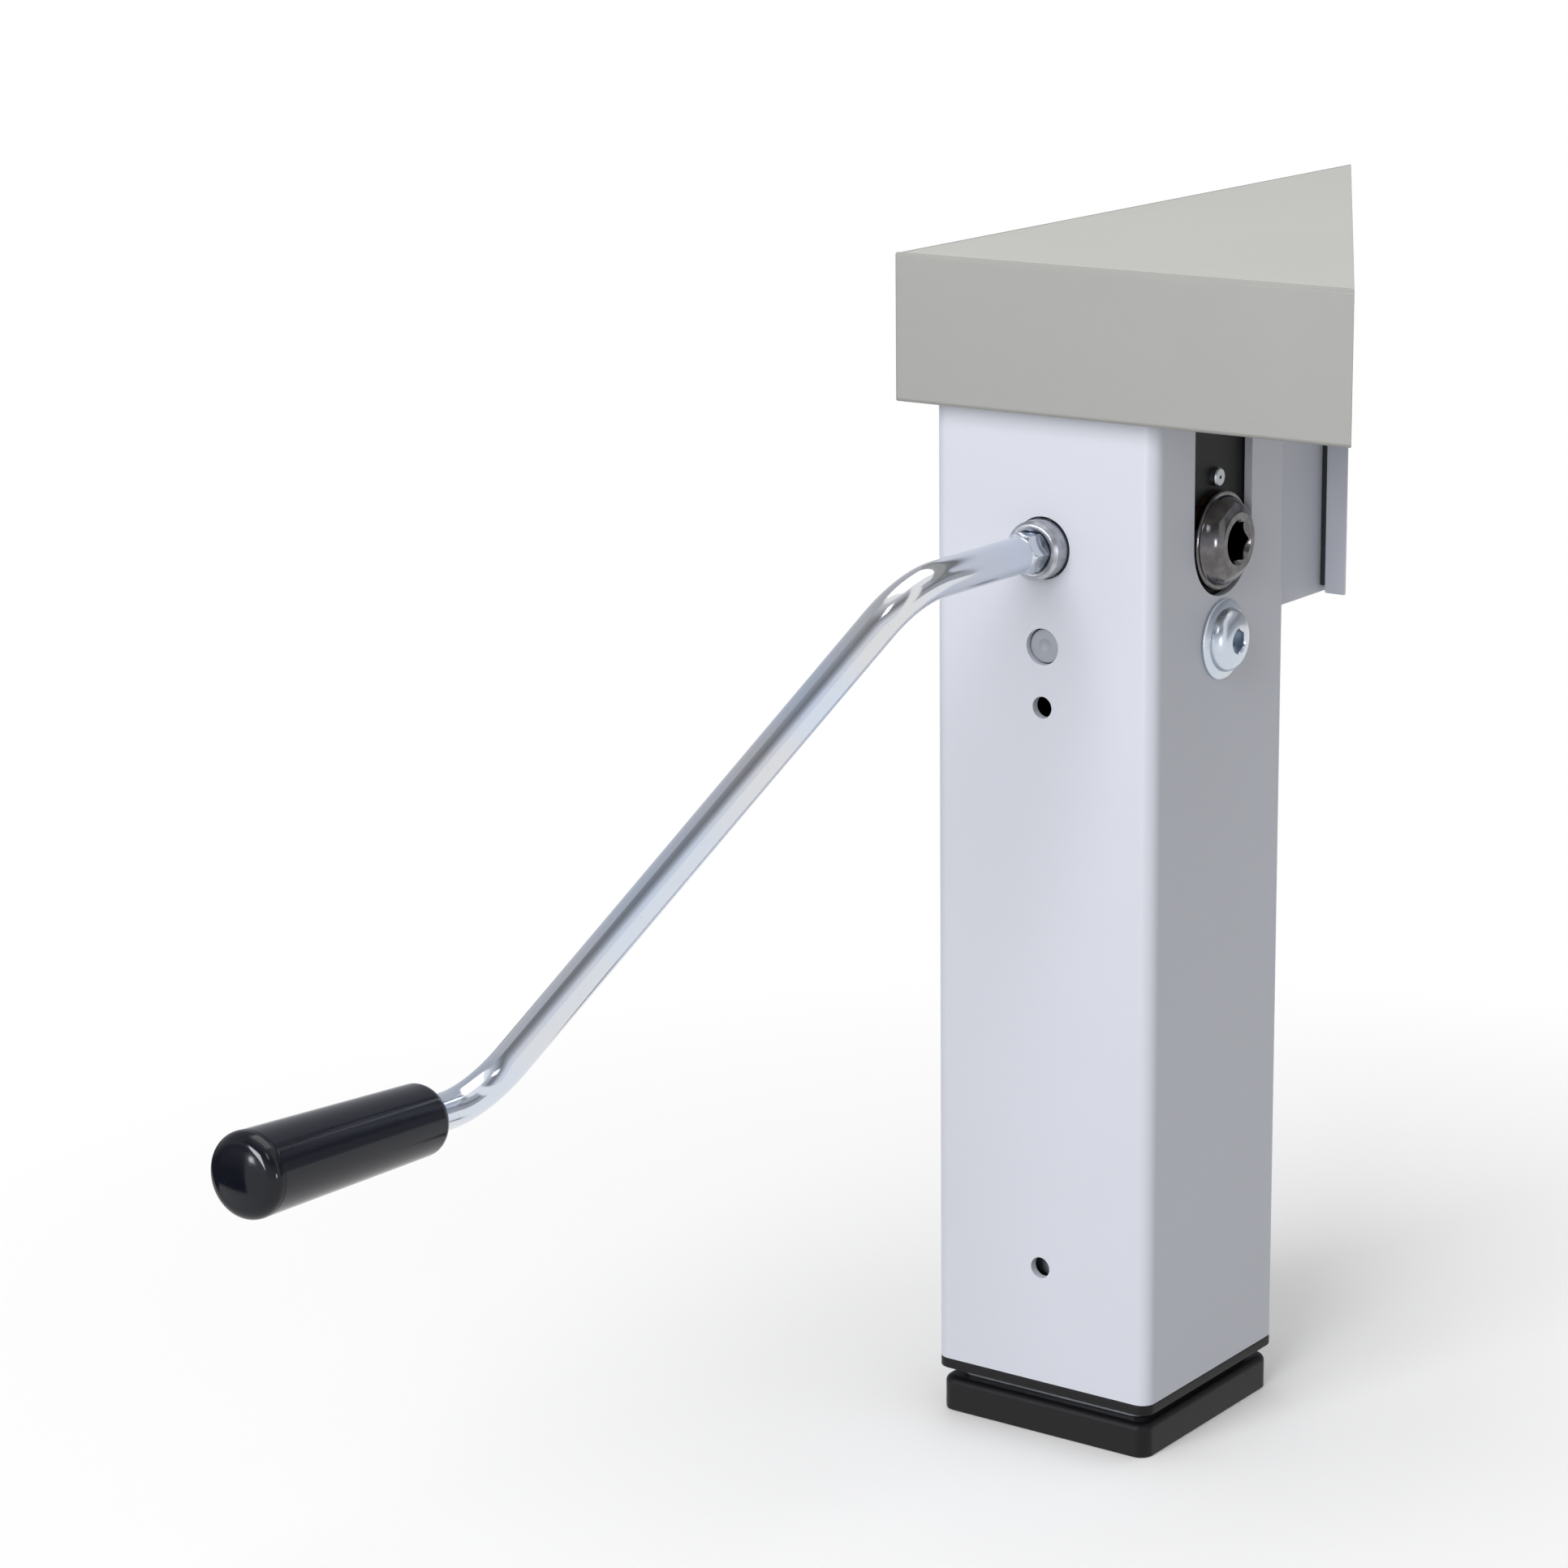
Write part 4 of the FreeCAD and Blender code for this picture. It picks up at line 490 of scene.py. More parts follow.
class Finishes:
    """The finishes of this workbench."""

    BOARD = Chipboard("board", shade(186, 152, 104), 0.78)
    # painted light: the laminate shares one real colour with the edge band, but is painted lighter
    # to stand for the stronger light on the worktop's top
    LAMINATE_PAINTED_LIGHT = Laminate("laminate", shade(193, 192, 186), 0.5)
    # painted shade: the edge band shares one real colour with the laminate, but is painted darker to
    # stand for the shade on the worktop's front
    EDGE_BAND_PAINTED_SHADE = Laminate("edge_band", shade(161, 161, 157), 0.48, pearl=0.8 * MM)
    POWDER_COAT = PowderCoat("powder_coat", shade(217, 220, 230), 0.42)
    BLACK_STEEL = PowderCoat("black_steel", shade(48, 49, 53), 0.4, peel=0.6 * MM)
    BARE_STEEL = Drawn("bare_steel", shade(150, 152, 156), 0.34)
    BLACK_PLASTIC = Moulded("black_plastic", shade(12, 12, 14), 0.5)
    GREY_PLASTIC = Moulded("grey_plastic", shade(168, 172, 180), 0.42)
    ZINC = Plated("zinc", shade(196, 202, 211), 0.22)
    # painted shade: this zinc is painted much darker than the other zinc to stand for the shade in
    # the slot where the side screw sits; its higher roughness is its own
    DULL_ZINC_PAINTED_SHADE = Plated("zinc", shade(132, 135, 140), 0.34, "_dull_painted_shade")
    BRONZE = Sintered("bronze", shade(176, 128, 72), 0.42)
    BEARING_STEEL = Drawn("bearing_steel", shade(158, 160, 165), 0.24)
    HUB_STEEL = Lathed("hub_steel", shade(186, 188, 193), 0.32, axis=(0.0, 1.0, 0.0))
    DARK_STEEL = Lathed("dark_steel", shade(112, 110, 111), 0.12, axis=(1.0, 0.0, 0.0))
    CHROME_BAR = Plated("chrome_bar", shade(214, 220, 232), 0.1, clouding=0.06)
    GRIP_BLACK = Polished("grip_black", shade(13, 16, 29), 0.13)
    CAP_BLACK = Polished("grip_black", shade(13, 15, 24), 0.1, "_cap")


def dress(nodes: dict[str, Piece], names: Sequence[str], finish: Finish) -> None:
    """Gives carried-over nodes a finish.

    Args:
        nodes: all the frame's nodes.
        names: the nodes that get it.
        finish: the finish.
    """
    for name in names:
        slots = nodes[name].data.materials
        slots.clear()
        slots.append(finish.material())


# ---------------------------------------------------------------------------------------
# Meshes
# ---------------------------------------------------------------------------------------
class Form(Enum):
    """The outline of one ring of a turned piece, seen along its axis."""

    ROUND = "round"
    HEXAGON = "hexagon"
    CROSS = "cross"

    def reach(self, size: float, angle: float) -> float:
        """Gives the outline's distance from the axis.

        Args:
            size: the radius, half the width across the flats, or half an arm's width.
            angle: the direction, in radians.

        Returns:
            The distance in that direction.
        """
        if self is Form.HEXAGON:
            return size / math.cos((angle % (math.pi / 3)) - math.pi / 6)
        if self is Form.CROSS:
            arm = 3.2 * size
            folded = abs((angle + math.pi / 4) % (math.pi / 2) - math.pi / 4)
            return min(arm / math.cos(folded), size / max(math.sin(folded), 1e-6))
        return size


@dataclass(frozen=True)
class Ring:
    """One ring of a turned piece."""

    size: float
    along: float
    form: Form = Form.ROUND
    limit: float = math.inf
    least: float = 0.0

    def reach(self, angle: float) -> float:
        """Returns the ring's distance from the axis at an angle, between its two limits."""
        return max(min(self.form.reach(self.size, angle), self.limit), self.least)


@dataclass(frozen=True)
class Axis:
    """Where a turned piece's axis starts, and which way it runs."""

    start: Vector
    direction: Vector

    def matrix(self) -> Matrix:
        """Returns the matrix that carries +Z at the origin to this axis.

        A hexagon keeps a flat towards the same side on every axis.
        """
        z = self.direction.normalized()
        aside = Y_AXIS if abs(z.dot(X_AXIS)) > 0.9 else X_AXIS
        x = (aside - z * aside.dot(z)).normalized()
        return Matrix.Translation(self.start) @ Matrix((x, z.cross(x), z)).transposed().to_4x4()


def linked(name: str, mesh: bpy.types.Mesh) -> Piece:
    """Makes an object of a mesh and links it to the scene."""
    piece = bpy.data.objects.new(name, mesh)
    bpy.context.scene.collection.objects.link(piece)
    return piece


def from_faces(name: str, points: Sequence[Vector], faces: Sequence[Sequence[int]]) -> Piece:
    """Makes an object of points and faces, with its faces turned outwards."""
    mesh = bpy.data.meshes.new(name)
    mesh.from_pydata([tuple(point) for point in points], [], faces)
    work = bmesh.new()
    work.from_mesh(mesh)
    bmesh.ops.remove_doubles(work, verts=work.verts, dist=1e-7)
    bmesh.ops.recalc_face_normals(work, faces=work.faces)
    work.to_mesh(mesh)
    work.free()
    return linked(name, mesh)


def arc(centre: tuple[float, float], radii: tuple[float, float], angles: tuple[float, float],
        steps: int) -> list[Ring]:
    """Lists round rings along an arc of a half section.

    Args:
        centre: the distance of the arc's centre from the axis, and its place along the axis.
        radii: the arc's radius across and along the axis; they are equal on a circle.
        angles: where the arc starts and ends, in radians from the outward direction.
        steps: how many parts it has.

    Returns:
        One ring more than the arc has parts.
    """
    rings = []
    for step in range(steps + 1):
        angle = angles[0] + (angles[1] - angles[0]) * step / steps
        size = centre[0] + radii[0] * math.cos(angle)
        rings.append(Ring(size, centre[1] + radii[1] * math.sin(angle)))
    return rings


def countersunk(half: float, end: float, width: float, floor: float) -> list[Ring]:
    """Lists the rings of a six-sided hole whose mouth is opened by a cone.

    Args:
        half: half the width across the hole's flats.
        end: where the mouth lies along the axis.
        width: how much wider than the flats the cone starts.
        floor: where the hole ends.

    Returns:
        The rings from the mouth to the middle of the hole's floor.
    """
    steps = 8
    rings = []
    for step in range(steps + 1):
        depth = width * step / steps
        rings.append(Ring(half, end - depth, Form.HEXAGON, least=half + width - depth))
    return [*rings, Ring(half, floor, Form.HEXAGON), Ring(0, floor - 0.3 * MM)]


def turned(name: str, axis: Axis, rings: Sequence[Ring], steps: int = 96) -> Piece:
    """Makes a turned piece from rings.

    Rings that start and end on the axis make a solid; other rings make a closed sleeve.

    Args:
        name: the piece's name.
        axis: its axis.
        rings: its rings, in order round its half section.
        steps: how many points a ring has, a multiple of 24.

    Returns:
        The piece, not yet smoothed.
    """
    place = axis.matrix()
    points: list[Vector] = []
    loops: list[list[int]] = []
    for ring in rings:
        if ring.size == 0:
            loops.append([len(points)] * steps)
            points.append(place @ Vector((0, 0, ring.along)))
            continue
        loops.append(list(range(len(points), len(points) + steps)))
        for step in range(steps):
            angle = 2 * math.pi * step / steps
            reach = ring.reach(angle)
            flat = Vector((reach * math.cos(angle), reach * math.sin(angle), ring.along))
            points.append(place @ flat)
    if rings[0].size != 0:
        loops.append(loops[0])
    faces = []
    for lower, upper in zip(loops, loops[1:]):
        for step in range(steps):
            after = (step + 1) % steps
            corners = [lower[step], lower[after], upper[after], upper[step]]
            face = list(dict.fromkeys(corners))
            if len(face) > 2:
                faces.append(face)
    return from_faces(name, points, faces)


def settled(piece: Piece, edge: float = 0.0, crease: float = 32.0) -> Piece:
    """Rounds the sharp edges of a piece and shades the rest smooth.

    Args:
        piece: the piece.
        edge: the width of the rounding in metres, or 0 for none.
        crease: edges sharper than this many degrees count as sharp.

    Returns:
        The same piece, with no modifier left on it.
    """
    if edge:
        bevel = piece.modifiers.new("edge", "BEVEL")
        bevel.width = edge
        bevel.segments = 2
        bevel.limit_method = "ANGLE"
        bevel.angle_limit = math.radians(crease)
        bevel.use_clamp_overlap = True
        bake(piece)
    mesh = piece.data
    mesh.polygons.foreach_set("use_smooth", [True] * len(mesh.polygons))
    mesh.set_sharp_from_angle(angle=math.radians(crease))
    # large flat faces keep their own direction, and only the rounding bends
    weighted = piece.modifiers.new("flats", "WEIGHTED_NORMAL")
    weighted.keep_sharp = True
    weighted.weight = 100
    return bake(piece)


def bake(piece: Piece) -> Piece:
    """Replaces a piece's mesh by what its modifiers make of it, and removes them."""
    graph = bpy.context.evaluated_depsgraph_get()
    mesh = bpy.data.meshes.new_from_object(piece.evaluated_get(graph), depsgraph=graph)
    piece.modifiers.clear()
    piece.data = mesh
    return piece


def softened(nodes: dict[str, Piece], node: str, edge: float) -> Piece:
    """Copies a node with its sharp edges rounded.

    Args:
        nodes: all the frame's nodes.
        node: the node to copy.
        edge: the width of the rounding in metres.

    Returns:
        The copy, named after the node.
    """
    mesh = nodes[node].data.copy()
    mesh.materials.clear()
    work = bmesh.new()
    work.from_mesh(mesh)
    bmesh.ops.remove_doubles(work, verts=work.verts, dist=1e-6)
    bmesh.ops.dissolve_limit(
        work, angle_limit=math.radians(0.5), verts=work.verts, edges=work.edges
    )
    for line in work.edges:
        line.smooth = True
    work.to_mesh(mesh)
    work.free()
    return settled(linked(f"{node}_piece", mesh), edge)


def seat(piece: Piece, finish: Finish, body: str, *stands_for: str) -> None:
    """Finishes a piece and puts it on its body.

    Args:
        piece: the piece.
        finish: its finish.
        body: the body that it moves with.
        stands_for: the nodes that it replaces.
    """
    piece.data.materials.clear()
    piece.data.materials.append(finish.material())
    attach(piece, body)
    if stands_for:
        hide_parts(*stands_for)
    LOG.info("%s rides on %s: %d faces", piece.name, body, len(piece.data.polygons))


# ---------------------------------------------------------------------------------------
# Geometry trees
# ---------------------------------------------------------------------------------------
class GeometryTree(Tree):
    """A geometry tree with named inputs, which grows a plain mesh and is then dropped."""

    def __init__(self, name: str) -> None:
        """Starts a tree that takes a geometry and gives one back."""
        group = bpy.data.node_groups.new(name, "GeometryNodeTree")
        super().__init__(group)
        group.interface.new_socket("Geometry", in_out="INPUT", socket_type="NodeSocketGeometry")
        group.interface.new_socket("Geometry", in_out="OUTPUT", socket_type="NodeSocketGeometry")
        self.values: dict[str, Any] = {}
        self.given = group.nodes.new("NodeGroupInput")

    def size(self, name: str, value: Any, kind: str = "NodeSocketFloat") -> Wire:
        """Adds a named input.

        Args:
            name: the input's name.
            value: what it is set to.
            kind: its socket type.

        Returns:
            The input's wire.
        """
        item = self.tree.interface.new_socket(name, in_out="INPUT", socket_type=kind)
        self.values[item.identifier] = value
        return Wire(self, self.find(self.given.outputs, item.identifier))

    @property
    def geometry(self) -> Wire:
        """The geometry that the tree starts from."""
        return Wire(self, self.given.outputs[0])

    def grow(self, name: str, result: Wire, base: bpy.types.ID | None = None) -> Piece:
        """Ends the tree and makes a plain mesh of what it gives.

        Args:
            name: the piece's name.
            result: the geometry to keep.
            base: the mesh or curve that the tree starts from, or None for an empty one.

        Returns:
            The piece, with no modifier on it.
        """
        material = self.size("Finish", None, "NodeSocketMaterial")
        solid = self.add("GeometryNodeRealizeInstances", None, {"Geometry": result})
        dressed = {"Geometry": solid, "Material": material}
        self.add("NodeGroupOutput", None, {0: self.add("GeometryNodeSetMaterial", None, dressed)})
        source = linked(f"{name}_source", base or bpy.data.meshes.new(name))
        modifier = source.modifiers.new("tree", "NODES")
        modifier.node_group = self.tree
        for identifier, value in self.values.items():
            if value is not None:
                modifier[identifier] = value
        graph = bpy.context.evaluated_depsgraph_get()
        mesh = bpy.data.meshes.new_from_object(source.evaluated_get(graph), depsgraph=graph)
        bpy.data.objects.remove(source)
        mesh.name = name
        return linked(name, mesh)


def star_of(name: str, part: Piece, count: int, centre: Vector) -> Piece:
    """Turns copies of a part about an upright axis, with the +Z of each pointing outwards.

    Args:
        name: the piece's name.
        part: the part, made about +Z; it is removed afterwards.
        count: how many copies there are; the first points along +X.
        centre: where the part's origin goes.

    Returns:
        One piece with all the copies.
    """
    tree = GeometryTree(f"{name}_tree")
    copies = tree.size("Copies", count, "NodeSocketInt")
    tilt = tree.size("Tilt", math.pi / 2)
    middle = tree.size("Centre", tuple(centre), "NodeSocketVector")
    angle = tree.add("GeometryNodeInputIndex") * (2 * math.pi) / copies
    places = tree.add("GeometryNodePoints", None, {"Count": copies, "Position": middle})
    turn = tree.add("ShaderNodeCombineXYZ", None, {"Y": tilt, "Z": angle})
    sources = {"Object": part, "As Instance": True}
    solid = tree.add("GeometryNodeObjectInfo", None, sources, "Geometry")
    inputs = {"Points": places, "Instance": solid, "Rotation": turn}
    piece = tree.grow(name, tree.add("GeometryNodeInstanceOnPoints", None, inputs))
    bpy.data.objects.remove(part)
    return piece


def bent_bar(name: str, corners: Sequence[Vector], radius: float, bend: float) -> Piece:
    """Bends a round bar round its corners.

    Args:
        name: the piece's name.
        corners: the ends of the bar's middle line and the corners between them.
        radius: the bar's radius in metres.
        bend: the radius of its middle line at each corner.

    Returns:
        The bar, closed at both ends.
    """
    line = bpy.data.curves.new(name, "CURVE")
    line.dimensions = "3D"
    spline = line.splines.new("POLY")
    spline.points.add(len(corners) - 1)
    for point, corner in zip(spline.points, corners):
        point.co = (*corner, 1.0)
    tree = GeometryTree(f"{name}_tree")
    thickness = tree.size("Bar radius", radius)
    turn = tree.size("Bend radius", bend)
    bends = {"Curve": tree.geometry, "Count": 22, "Radius": turn}
    path = tree.add("GeometryNodeFilletCurve", {"mode": "POLY"}, bends)
    evenly = {"Curve": path, "Length": 1.2 * MM}
    path = tree.add("GeometryNodeResampleCurve", {"mode": "LENGTH"}, evenly)
    circle = {"Resolution": 96, "Radius": thickness}
    section = tree.add("GeometryNodeCurvePrimitiveCircle", {"mode": "RADIUS"}, circle)
    swept = {"Curve": path, "Profile Curve": section, "Fill Caps": True}
    return tree.grow(name, tree.add("GeometryNodeCurveToMesh", None, swept), line)


def threaded_bar(name: str, foot: Vector, length: float, core: float, outer: float,
                 pitch: float) -> Piece:
    """Cuts a left-hand trapezoidal thread on an upright bar.

    Args:
        name: the piece's name.
        foot: the middle of the bar's lower end.
        length: the bar's length in metres.
        core: the radius at the thread's root.
        outer: the radius at its crest.
        pitch: the rise of one turn.

    Returns:
        The threaded bar.
    """
    rows_per_turn = 12
    around = 48
    tree = GeometryTree(f"{name}_tree")
    rise = tree.size("Pitch", pitch)
    root = tree.size("Core radius", core)
    crest = tree.size("Outer radius", outer)
    tall = tree.size("Length", length)
    rows = tree.size("Rows", int(length / pitch * rows_per_turn), "NodeSocketInt")
    blank = {"Vertices": around, "Side Segments": rows, "Radius": 1.0, "Depth": tall}
    bar = tree.add("GeometryNodeMeshCylinder", {"fill_type": "NGON"}, blank, "Mesh")
    place = tree.add("GeometryNodeInputPosition")
    x, y, z = (tree.add("ShaderNodeSeparateXYZ", None, {"Vector": place}, way) for way in "XYZ")
    turn = y.math("ARCTAN2", x) * (0.5 / math.pi)
    phase = (z / rise + turn).math("FRACT")
    ridge = 1 - ((phase - 0.5).math("ABSOLUTE") * 2).ranged(0.36, 0.62)
    # the thread runs out towards both ends
    end = (tall * 0.5 - z.math("ABSOLUTE")) / rise
    radius = root + (crest - root) * ridge * end.ranged(0.1, 0.8)
    flat = {"X": x * radius, "Y": y * radius, "Z": z + tall * 0.5}
    shaped = {"Geometry": bar, "Position": tree.add("ShaderNodeCombineXYZ", None, flat)}
    cut = tree.add("GeometryNodeSetPosition", None, shaped)
    lifted = {"Geometry": cut, "Translation": tuple(foot)}
    return tree.grow(name, tree.add("GeometryNodeTransform", None, lifted))


# ---------------------------------------------------------------------------------------
# Sub-assemblies
# ---------------------------------------------------------------------------------------
@dataclass
class Assembly:
    """What every sub-assembly has: the frame's nodes, and a way to make and dress its pieces."""

    nodes: dict[str, Piece]

    def build(self) -> None:
        """Makes the sub-assembly's finer pieces."""

    def dress(self) -> None:
        """Gives the carried-over nodes their finishes."""

    def low(self, node: str) -> Vector:
        """Returns a node's lowest corner."""
        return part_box(node)[0]

    def high(self, node: str) -> Vector:
        """Returns a node's highest corner."""
        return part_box(node)[1]

    def middle(self, node: str) -> Vector:
        """Returns the middle of a node's box."""
        low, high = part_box(node)
        return (low + high) / 2

    def soften(self, names: Sequence[str], edge: float, finish: Finish, body: str) -> None:
        """Replaces nodes by copies with rounded edges.

        Args:
            names: the nodes.
            edge: the width of the rounding in metres.
            finish: their finish.
            body: the body that they move with.
        """
        for name in names:
            seat(softened(self.nodes, name, edge), finish, body, name)


@dataclass
class WorktopCorner(Assembly):
    """Chipboard core between two laminates, with plastic bands on the two outer edges."""

    def build(self) -> None:
        """Rounds the bands' edges."""
        # the bands' finish carries painted shade for the worktop's front
        self.soften(["edge_band_front", "edge_band_left"], 0.35 * MM, Finishes.EDGE_BAND_PAINTED_SHADE,
                    "outer_leg")
        # the laminate's finish carries painted light for the lit top
        self.soften(["worktop_laminate"], 0.2 * MM, Finishes.LAMINATE_PAINTED_LIGHT, "outer_leg")

    def dress(self) -> None:
        """Finishes the core and the backing."""
        dress(self.nodes, ["worktop_core"], Finishes.BOARD)
        dress(self.nodes, ["worktop_backing"], Finishes.LAMINATE_PAINTED_LIGHT)
        dress(self.nodes, ["worktop_screws"], Finishes.ZINC)


@dataclass
class OuterLeg(Assembly):
    """Square tube with its fixings, the glide in its mouth and the rails behind it."""

    socket: float = 3.0 * MM
    flange_rim: float = 0.7 * MM
    dome_foot: float = 1.6 * MM
    screw_depth: float = 13 * MM
    dowel_root: float = 18.6 * MM

    def build(self) -> None:
        """Makes the tube, the fixing screws, the dowels and the rails."""
        self.soften(["outer_leg_tube"], 0.3 * MM, Finishes.POWDER_COAT, "outer_leg")
        self.soften(["cross_rail", "long_rail"], 0.5 * MM, Finishes.POWDER_COAT, "outer_leg")
        self.soften(["rail_joint_plate"], 0.2 * MM, Finishes.BLACK_STEEL, "outer_leg")
        self.soften(["lower_glide_collar"], 0.4 * MM, Finishes.BLACK_PLASTIC, "outer_leg")
        seat(self.flange_screws(), Finishes.ZINC, "outer_leg", "leg_screws")
        seat(self.dowel(-1, "front"), Finishes.GREY_PLASTIC, "outer_leg", "locating_dowels")
        seat(self.dowel(1, "back"), Finishes.GREY_PLASTIC, "outer_leg")

    def flange_screws(self) -> Piece:
        """Makes the two flanged button screws that hold the gearbox in the leg.

        Returns:
            Both screws as one piece.
        """
        low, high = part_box("leg_screws")
        face = self.high("outer_leg_tube").x
        flange = (high.z - low.z) / 2
        shank = flange * 0.455
        tip = face - self.screw_depth
        rim = face + self.flange_rim
        dome = flange * 0.8
        crown = shank * 0.72
        foot = face + self.dome_foot
        rings = [
            Ring(0, tip),
            Ring(shank, tip),
            Ring(shank, face),
            Ring(flange - 0.3 * MM, face),
            Ring(flange, face + 0.3 * MM),
            Ring(flange, rim),
            Ring(flange - 0.4 * MM, rim + 0.35 * MM),
            Ring(dome + 0.4 * MM, foot - 0.1 * MM),
            *arc((crown, foot), (dome - crown, high.x - foot), (0, math.pi / 2), 7),
            Ring(self.socket * 1.2, high.x),
            Ring(self.socket, high.x - 0.4 * MM, Form.HEXAGON),
            Ring(self.socket, face + 0.8 * MM, Form.HEXAGON),
            Ring(0, face - 0.4 * MM),
        ]
        part = settled(turned("flange_screw", Axis(Vector(), Z_AXIS), rings, 72), crease=28)
        centre = Vector((0, 0, (low.z + high.z) / 2))
        return star_of("flange_screws", part, 2, centre)

    def dowel(self, side: int, name: str) -> Piece:
        """Makes one locating dowel with a rounded rim and a small moulded dimple.

        Args:
            side: -1 for the front face, 1 for the back.
            name: the side's name.

        Returns:
            The dowel.
        """
        low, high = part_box("locating_dowels")
        radius = (high.x - low.x) / 2
        start = Vector((0, side * self.dowel_root, (low.z + high.z) / 2))
        length = high.y - self.dowel_root
        rings = [
            Ring(0, 0),
            Ring(radius, 0),
            Ring(radius, length - 0.5 * MM),
            Ring(radius - 0.15 * MM, length - 0.15 * MM),
            Ring(radius - 0.5 * MM, length),
            Ring(radius * 0.42, length),
            Ring(radius * 0.34, length - 0.35 * MM),
            Ring(0, length - 0.5 * MM),
        ]
        return settled(turned(f"dowel_{name}", Axis(start, Vector((0, side, 0))), rings), crease=40)

    def dress(self) -> None:
        """Finishes the screw in the rail."""
        dress(self.nodes, ["rail_screw"], Finishes.ZINC)


@dataclass
class Gearbox(Assembly):
    """Housing, head plate, bushes and the screws that hold them together.

    The sizes are those of the small pan-head screw.
    """

    shank: float = 1.5 * MM
    length: float = 6 * MM
    head: float = 2.55 * MM
    head_height: float = 1.75 * MM
    cross_arm: float = 0.42 * MM
    screw_edge: float = 0.35 * MM

    def build(self) -> None:
        """Makes the housing's softened halves, the head plate and the screw in the cover."""
        self.soften(["gearbox_base", "gearbox_cover"], 0.35 * MM, Finishes.BLACK_PLASTIC,
                    "outer_leg")
        self.soften(["head_plate"], 0.25 * MM, Finishes.BLACK_STEEL, "outer_leg")
        # the side screw's darker zinc is painted shade from the slot
        seat(self.side_screw(), Finishes.DULL_ZINC_PAINTED_SHADE, "outer_leg", "housing_side_screw")

    def side_screw(self) -> Piece:
        """Makes the pan-head screw in the cover, with a cross recess.

        Returns:
            The screw.
        """
        low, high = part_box("housing_side_screw")
        axis = Axis(Vector((self.high("gearbox_cover").x, 0, (low.z + high.z) / 2)), X_AXIS)
        top = self.head_height
        depth = top * 0.45
        rings = [
            Ring(0, -self.length),
            Ring(self.shank - self.screw_edge, -self.length),
            Ring(self.shank, -self.length + self.screw_edge),
            Ring(self.shank, 0),
            Ring(self.head, 0),
            Ring(self.head, top - self.screw_edge),
            Ring(self.head - self.screw_edge, top),
            Ring(self.cross_arm * 1.25, top),
            Ring(self.cross_arm, top - 0.1 * self.cross_arm, Form.CROSS),
            Ring(self.cross_arm, top - depth, Form.CROSS),
            Ring(0, top - depth * 1.15),
        ]
        return settled(turned("side_screw", axis, rings))

    def dress(self) -> None:
        """Finishes the bushes, the bearing and the screws."""
        dress(self.nodes, ["input_bush", "cross_bush", "spindle_bush"], Finishes.BRONZE)
        dress(self.nodes, ["gearbox_screws"], Finishes.ZINC)
        dress(self.nodes, ["thrust_race_upper", "thrust_rollers"], Finishes.BEARING_STEEL)


@dataclass
class Drives(Assembly):
    """The sleeve that takes the crank, the domed hub of the cross drive, and their pinions.

    Both have a hexagonal plug for the pinion behind them and a hexagonal hole in front.
    """

    hexagon: float = 5.08 * MM
    bevel: float = 0.8 * MM
    plug: float = 6.95 * MM
    mouth: float = 1.15 * MM
    floor: float = 2 * MM
    hub_rim: float = 8 * MM
    hub_stand_off: float = 1.3 * MM
    hub_flange: float = 1.6 * MM

    def build(self) -> None:
        """Makes the sleeve and the hub."""
        seat(self.sleeve(), Finishes.HUB_STEEL, "input_drive", "input_sleeve")
        seat(self.hub(), Finishes.DARK_STEEL, "cross_drive", "cross_hub")

    def sleeve(self) -> Piece:
        """Makes the input sleeve: a bevelled tube with a six-sided hole.

        Returns:
            The sleeve.
        """
        low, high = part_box("input_sleeve")
        radius = (high.x - low.x) / 2
        shoulder = -self.low("gearbox_cover").y
        end = -low.y
        floor = -high.y + self.floor
        axis = Axis(Vector((0, 0, (low.z + high.z) / 2)), -Y_AXIS)
        rings = [
            Ring(0, -high.y),
            Ring(self.plug, -high.y, Form.HEXAGON),
            Ring(self.plug, shoulder, Form.HEXAGON),
            Ring(radius, shoulder),
            Ring(radius, end - self.bevel),
            Ring(radius - self.bevel, end),
            *countersunk(self.hexagon, end, self.mouth, floor),
        ]
        return settled(turned("sleeve", axis, rings), 0.1 * MM, crease=24)

    def hub(self) -> Piece:
        """Makes the cross hub: a thin flange and a dome that narrows to the socket.

        Returns:
            The hub.
        """
        low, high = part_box("cross_hub")
        flange = (high.z - low.z) / 2
        shoulder = self.high("gearbox_cover").x
        back = shoulder + self.hub_stand_off
        face = back + self.hub_flange
        top = high.x
        rim = self.hub_rim
        foot = flange - 1.2 * MM
        axis = Axis(Vector((0, 0, (low.z + high.z) / 2)), X_AXIS)
        rings = [
            Ring(0, low.x),
            Ring(self.plug, low.x, Form.HEXAGON),
            Ring(self.plug, shoulder, Form.HEXAGON),
            Ring(rim, shoulder),
            Ring(rim, back),
            Ring(flange, back),
            Ring(flange, face - 0.4 * MM),
            Ring(flange - 0.4 * MM, face),
            Ring(foot, face),
        ]
        # the dome's radius is the rim's, and its arc runs from the flange to the rim
        rise = top - face
        chord = math.hypot(foot - rim, rise)
        bulge = math.sqrt(rim * rim - chord * chord / 4)
        across = (foot + rim) / 2 - rise / chord * bulge
        along = (face + top) / 2 - (foot - rim) / chord * bulge
        first = math.atan2(face - along, foot - across)
        last = math.atan2(top - along, rim - across)
        rings += arc((across, along), (rim, rim), (first, last), 14)[1:]
        rings += countersunk(self.hexagon, top, self.mouth, low.x + self.floor)
        return settled(turned("domed_hub", axis, rings), 0.1 * MM, crease=24)

    def dress(self) -> None:
        """Finishes the pinions."""
        dress(self.nodes, ["input_pinion", "cross_pinion"], Finishes.BEARING_STEEL)


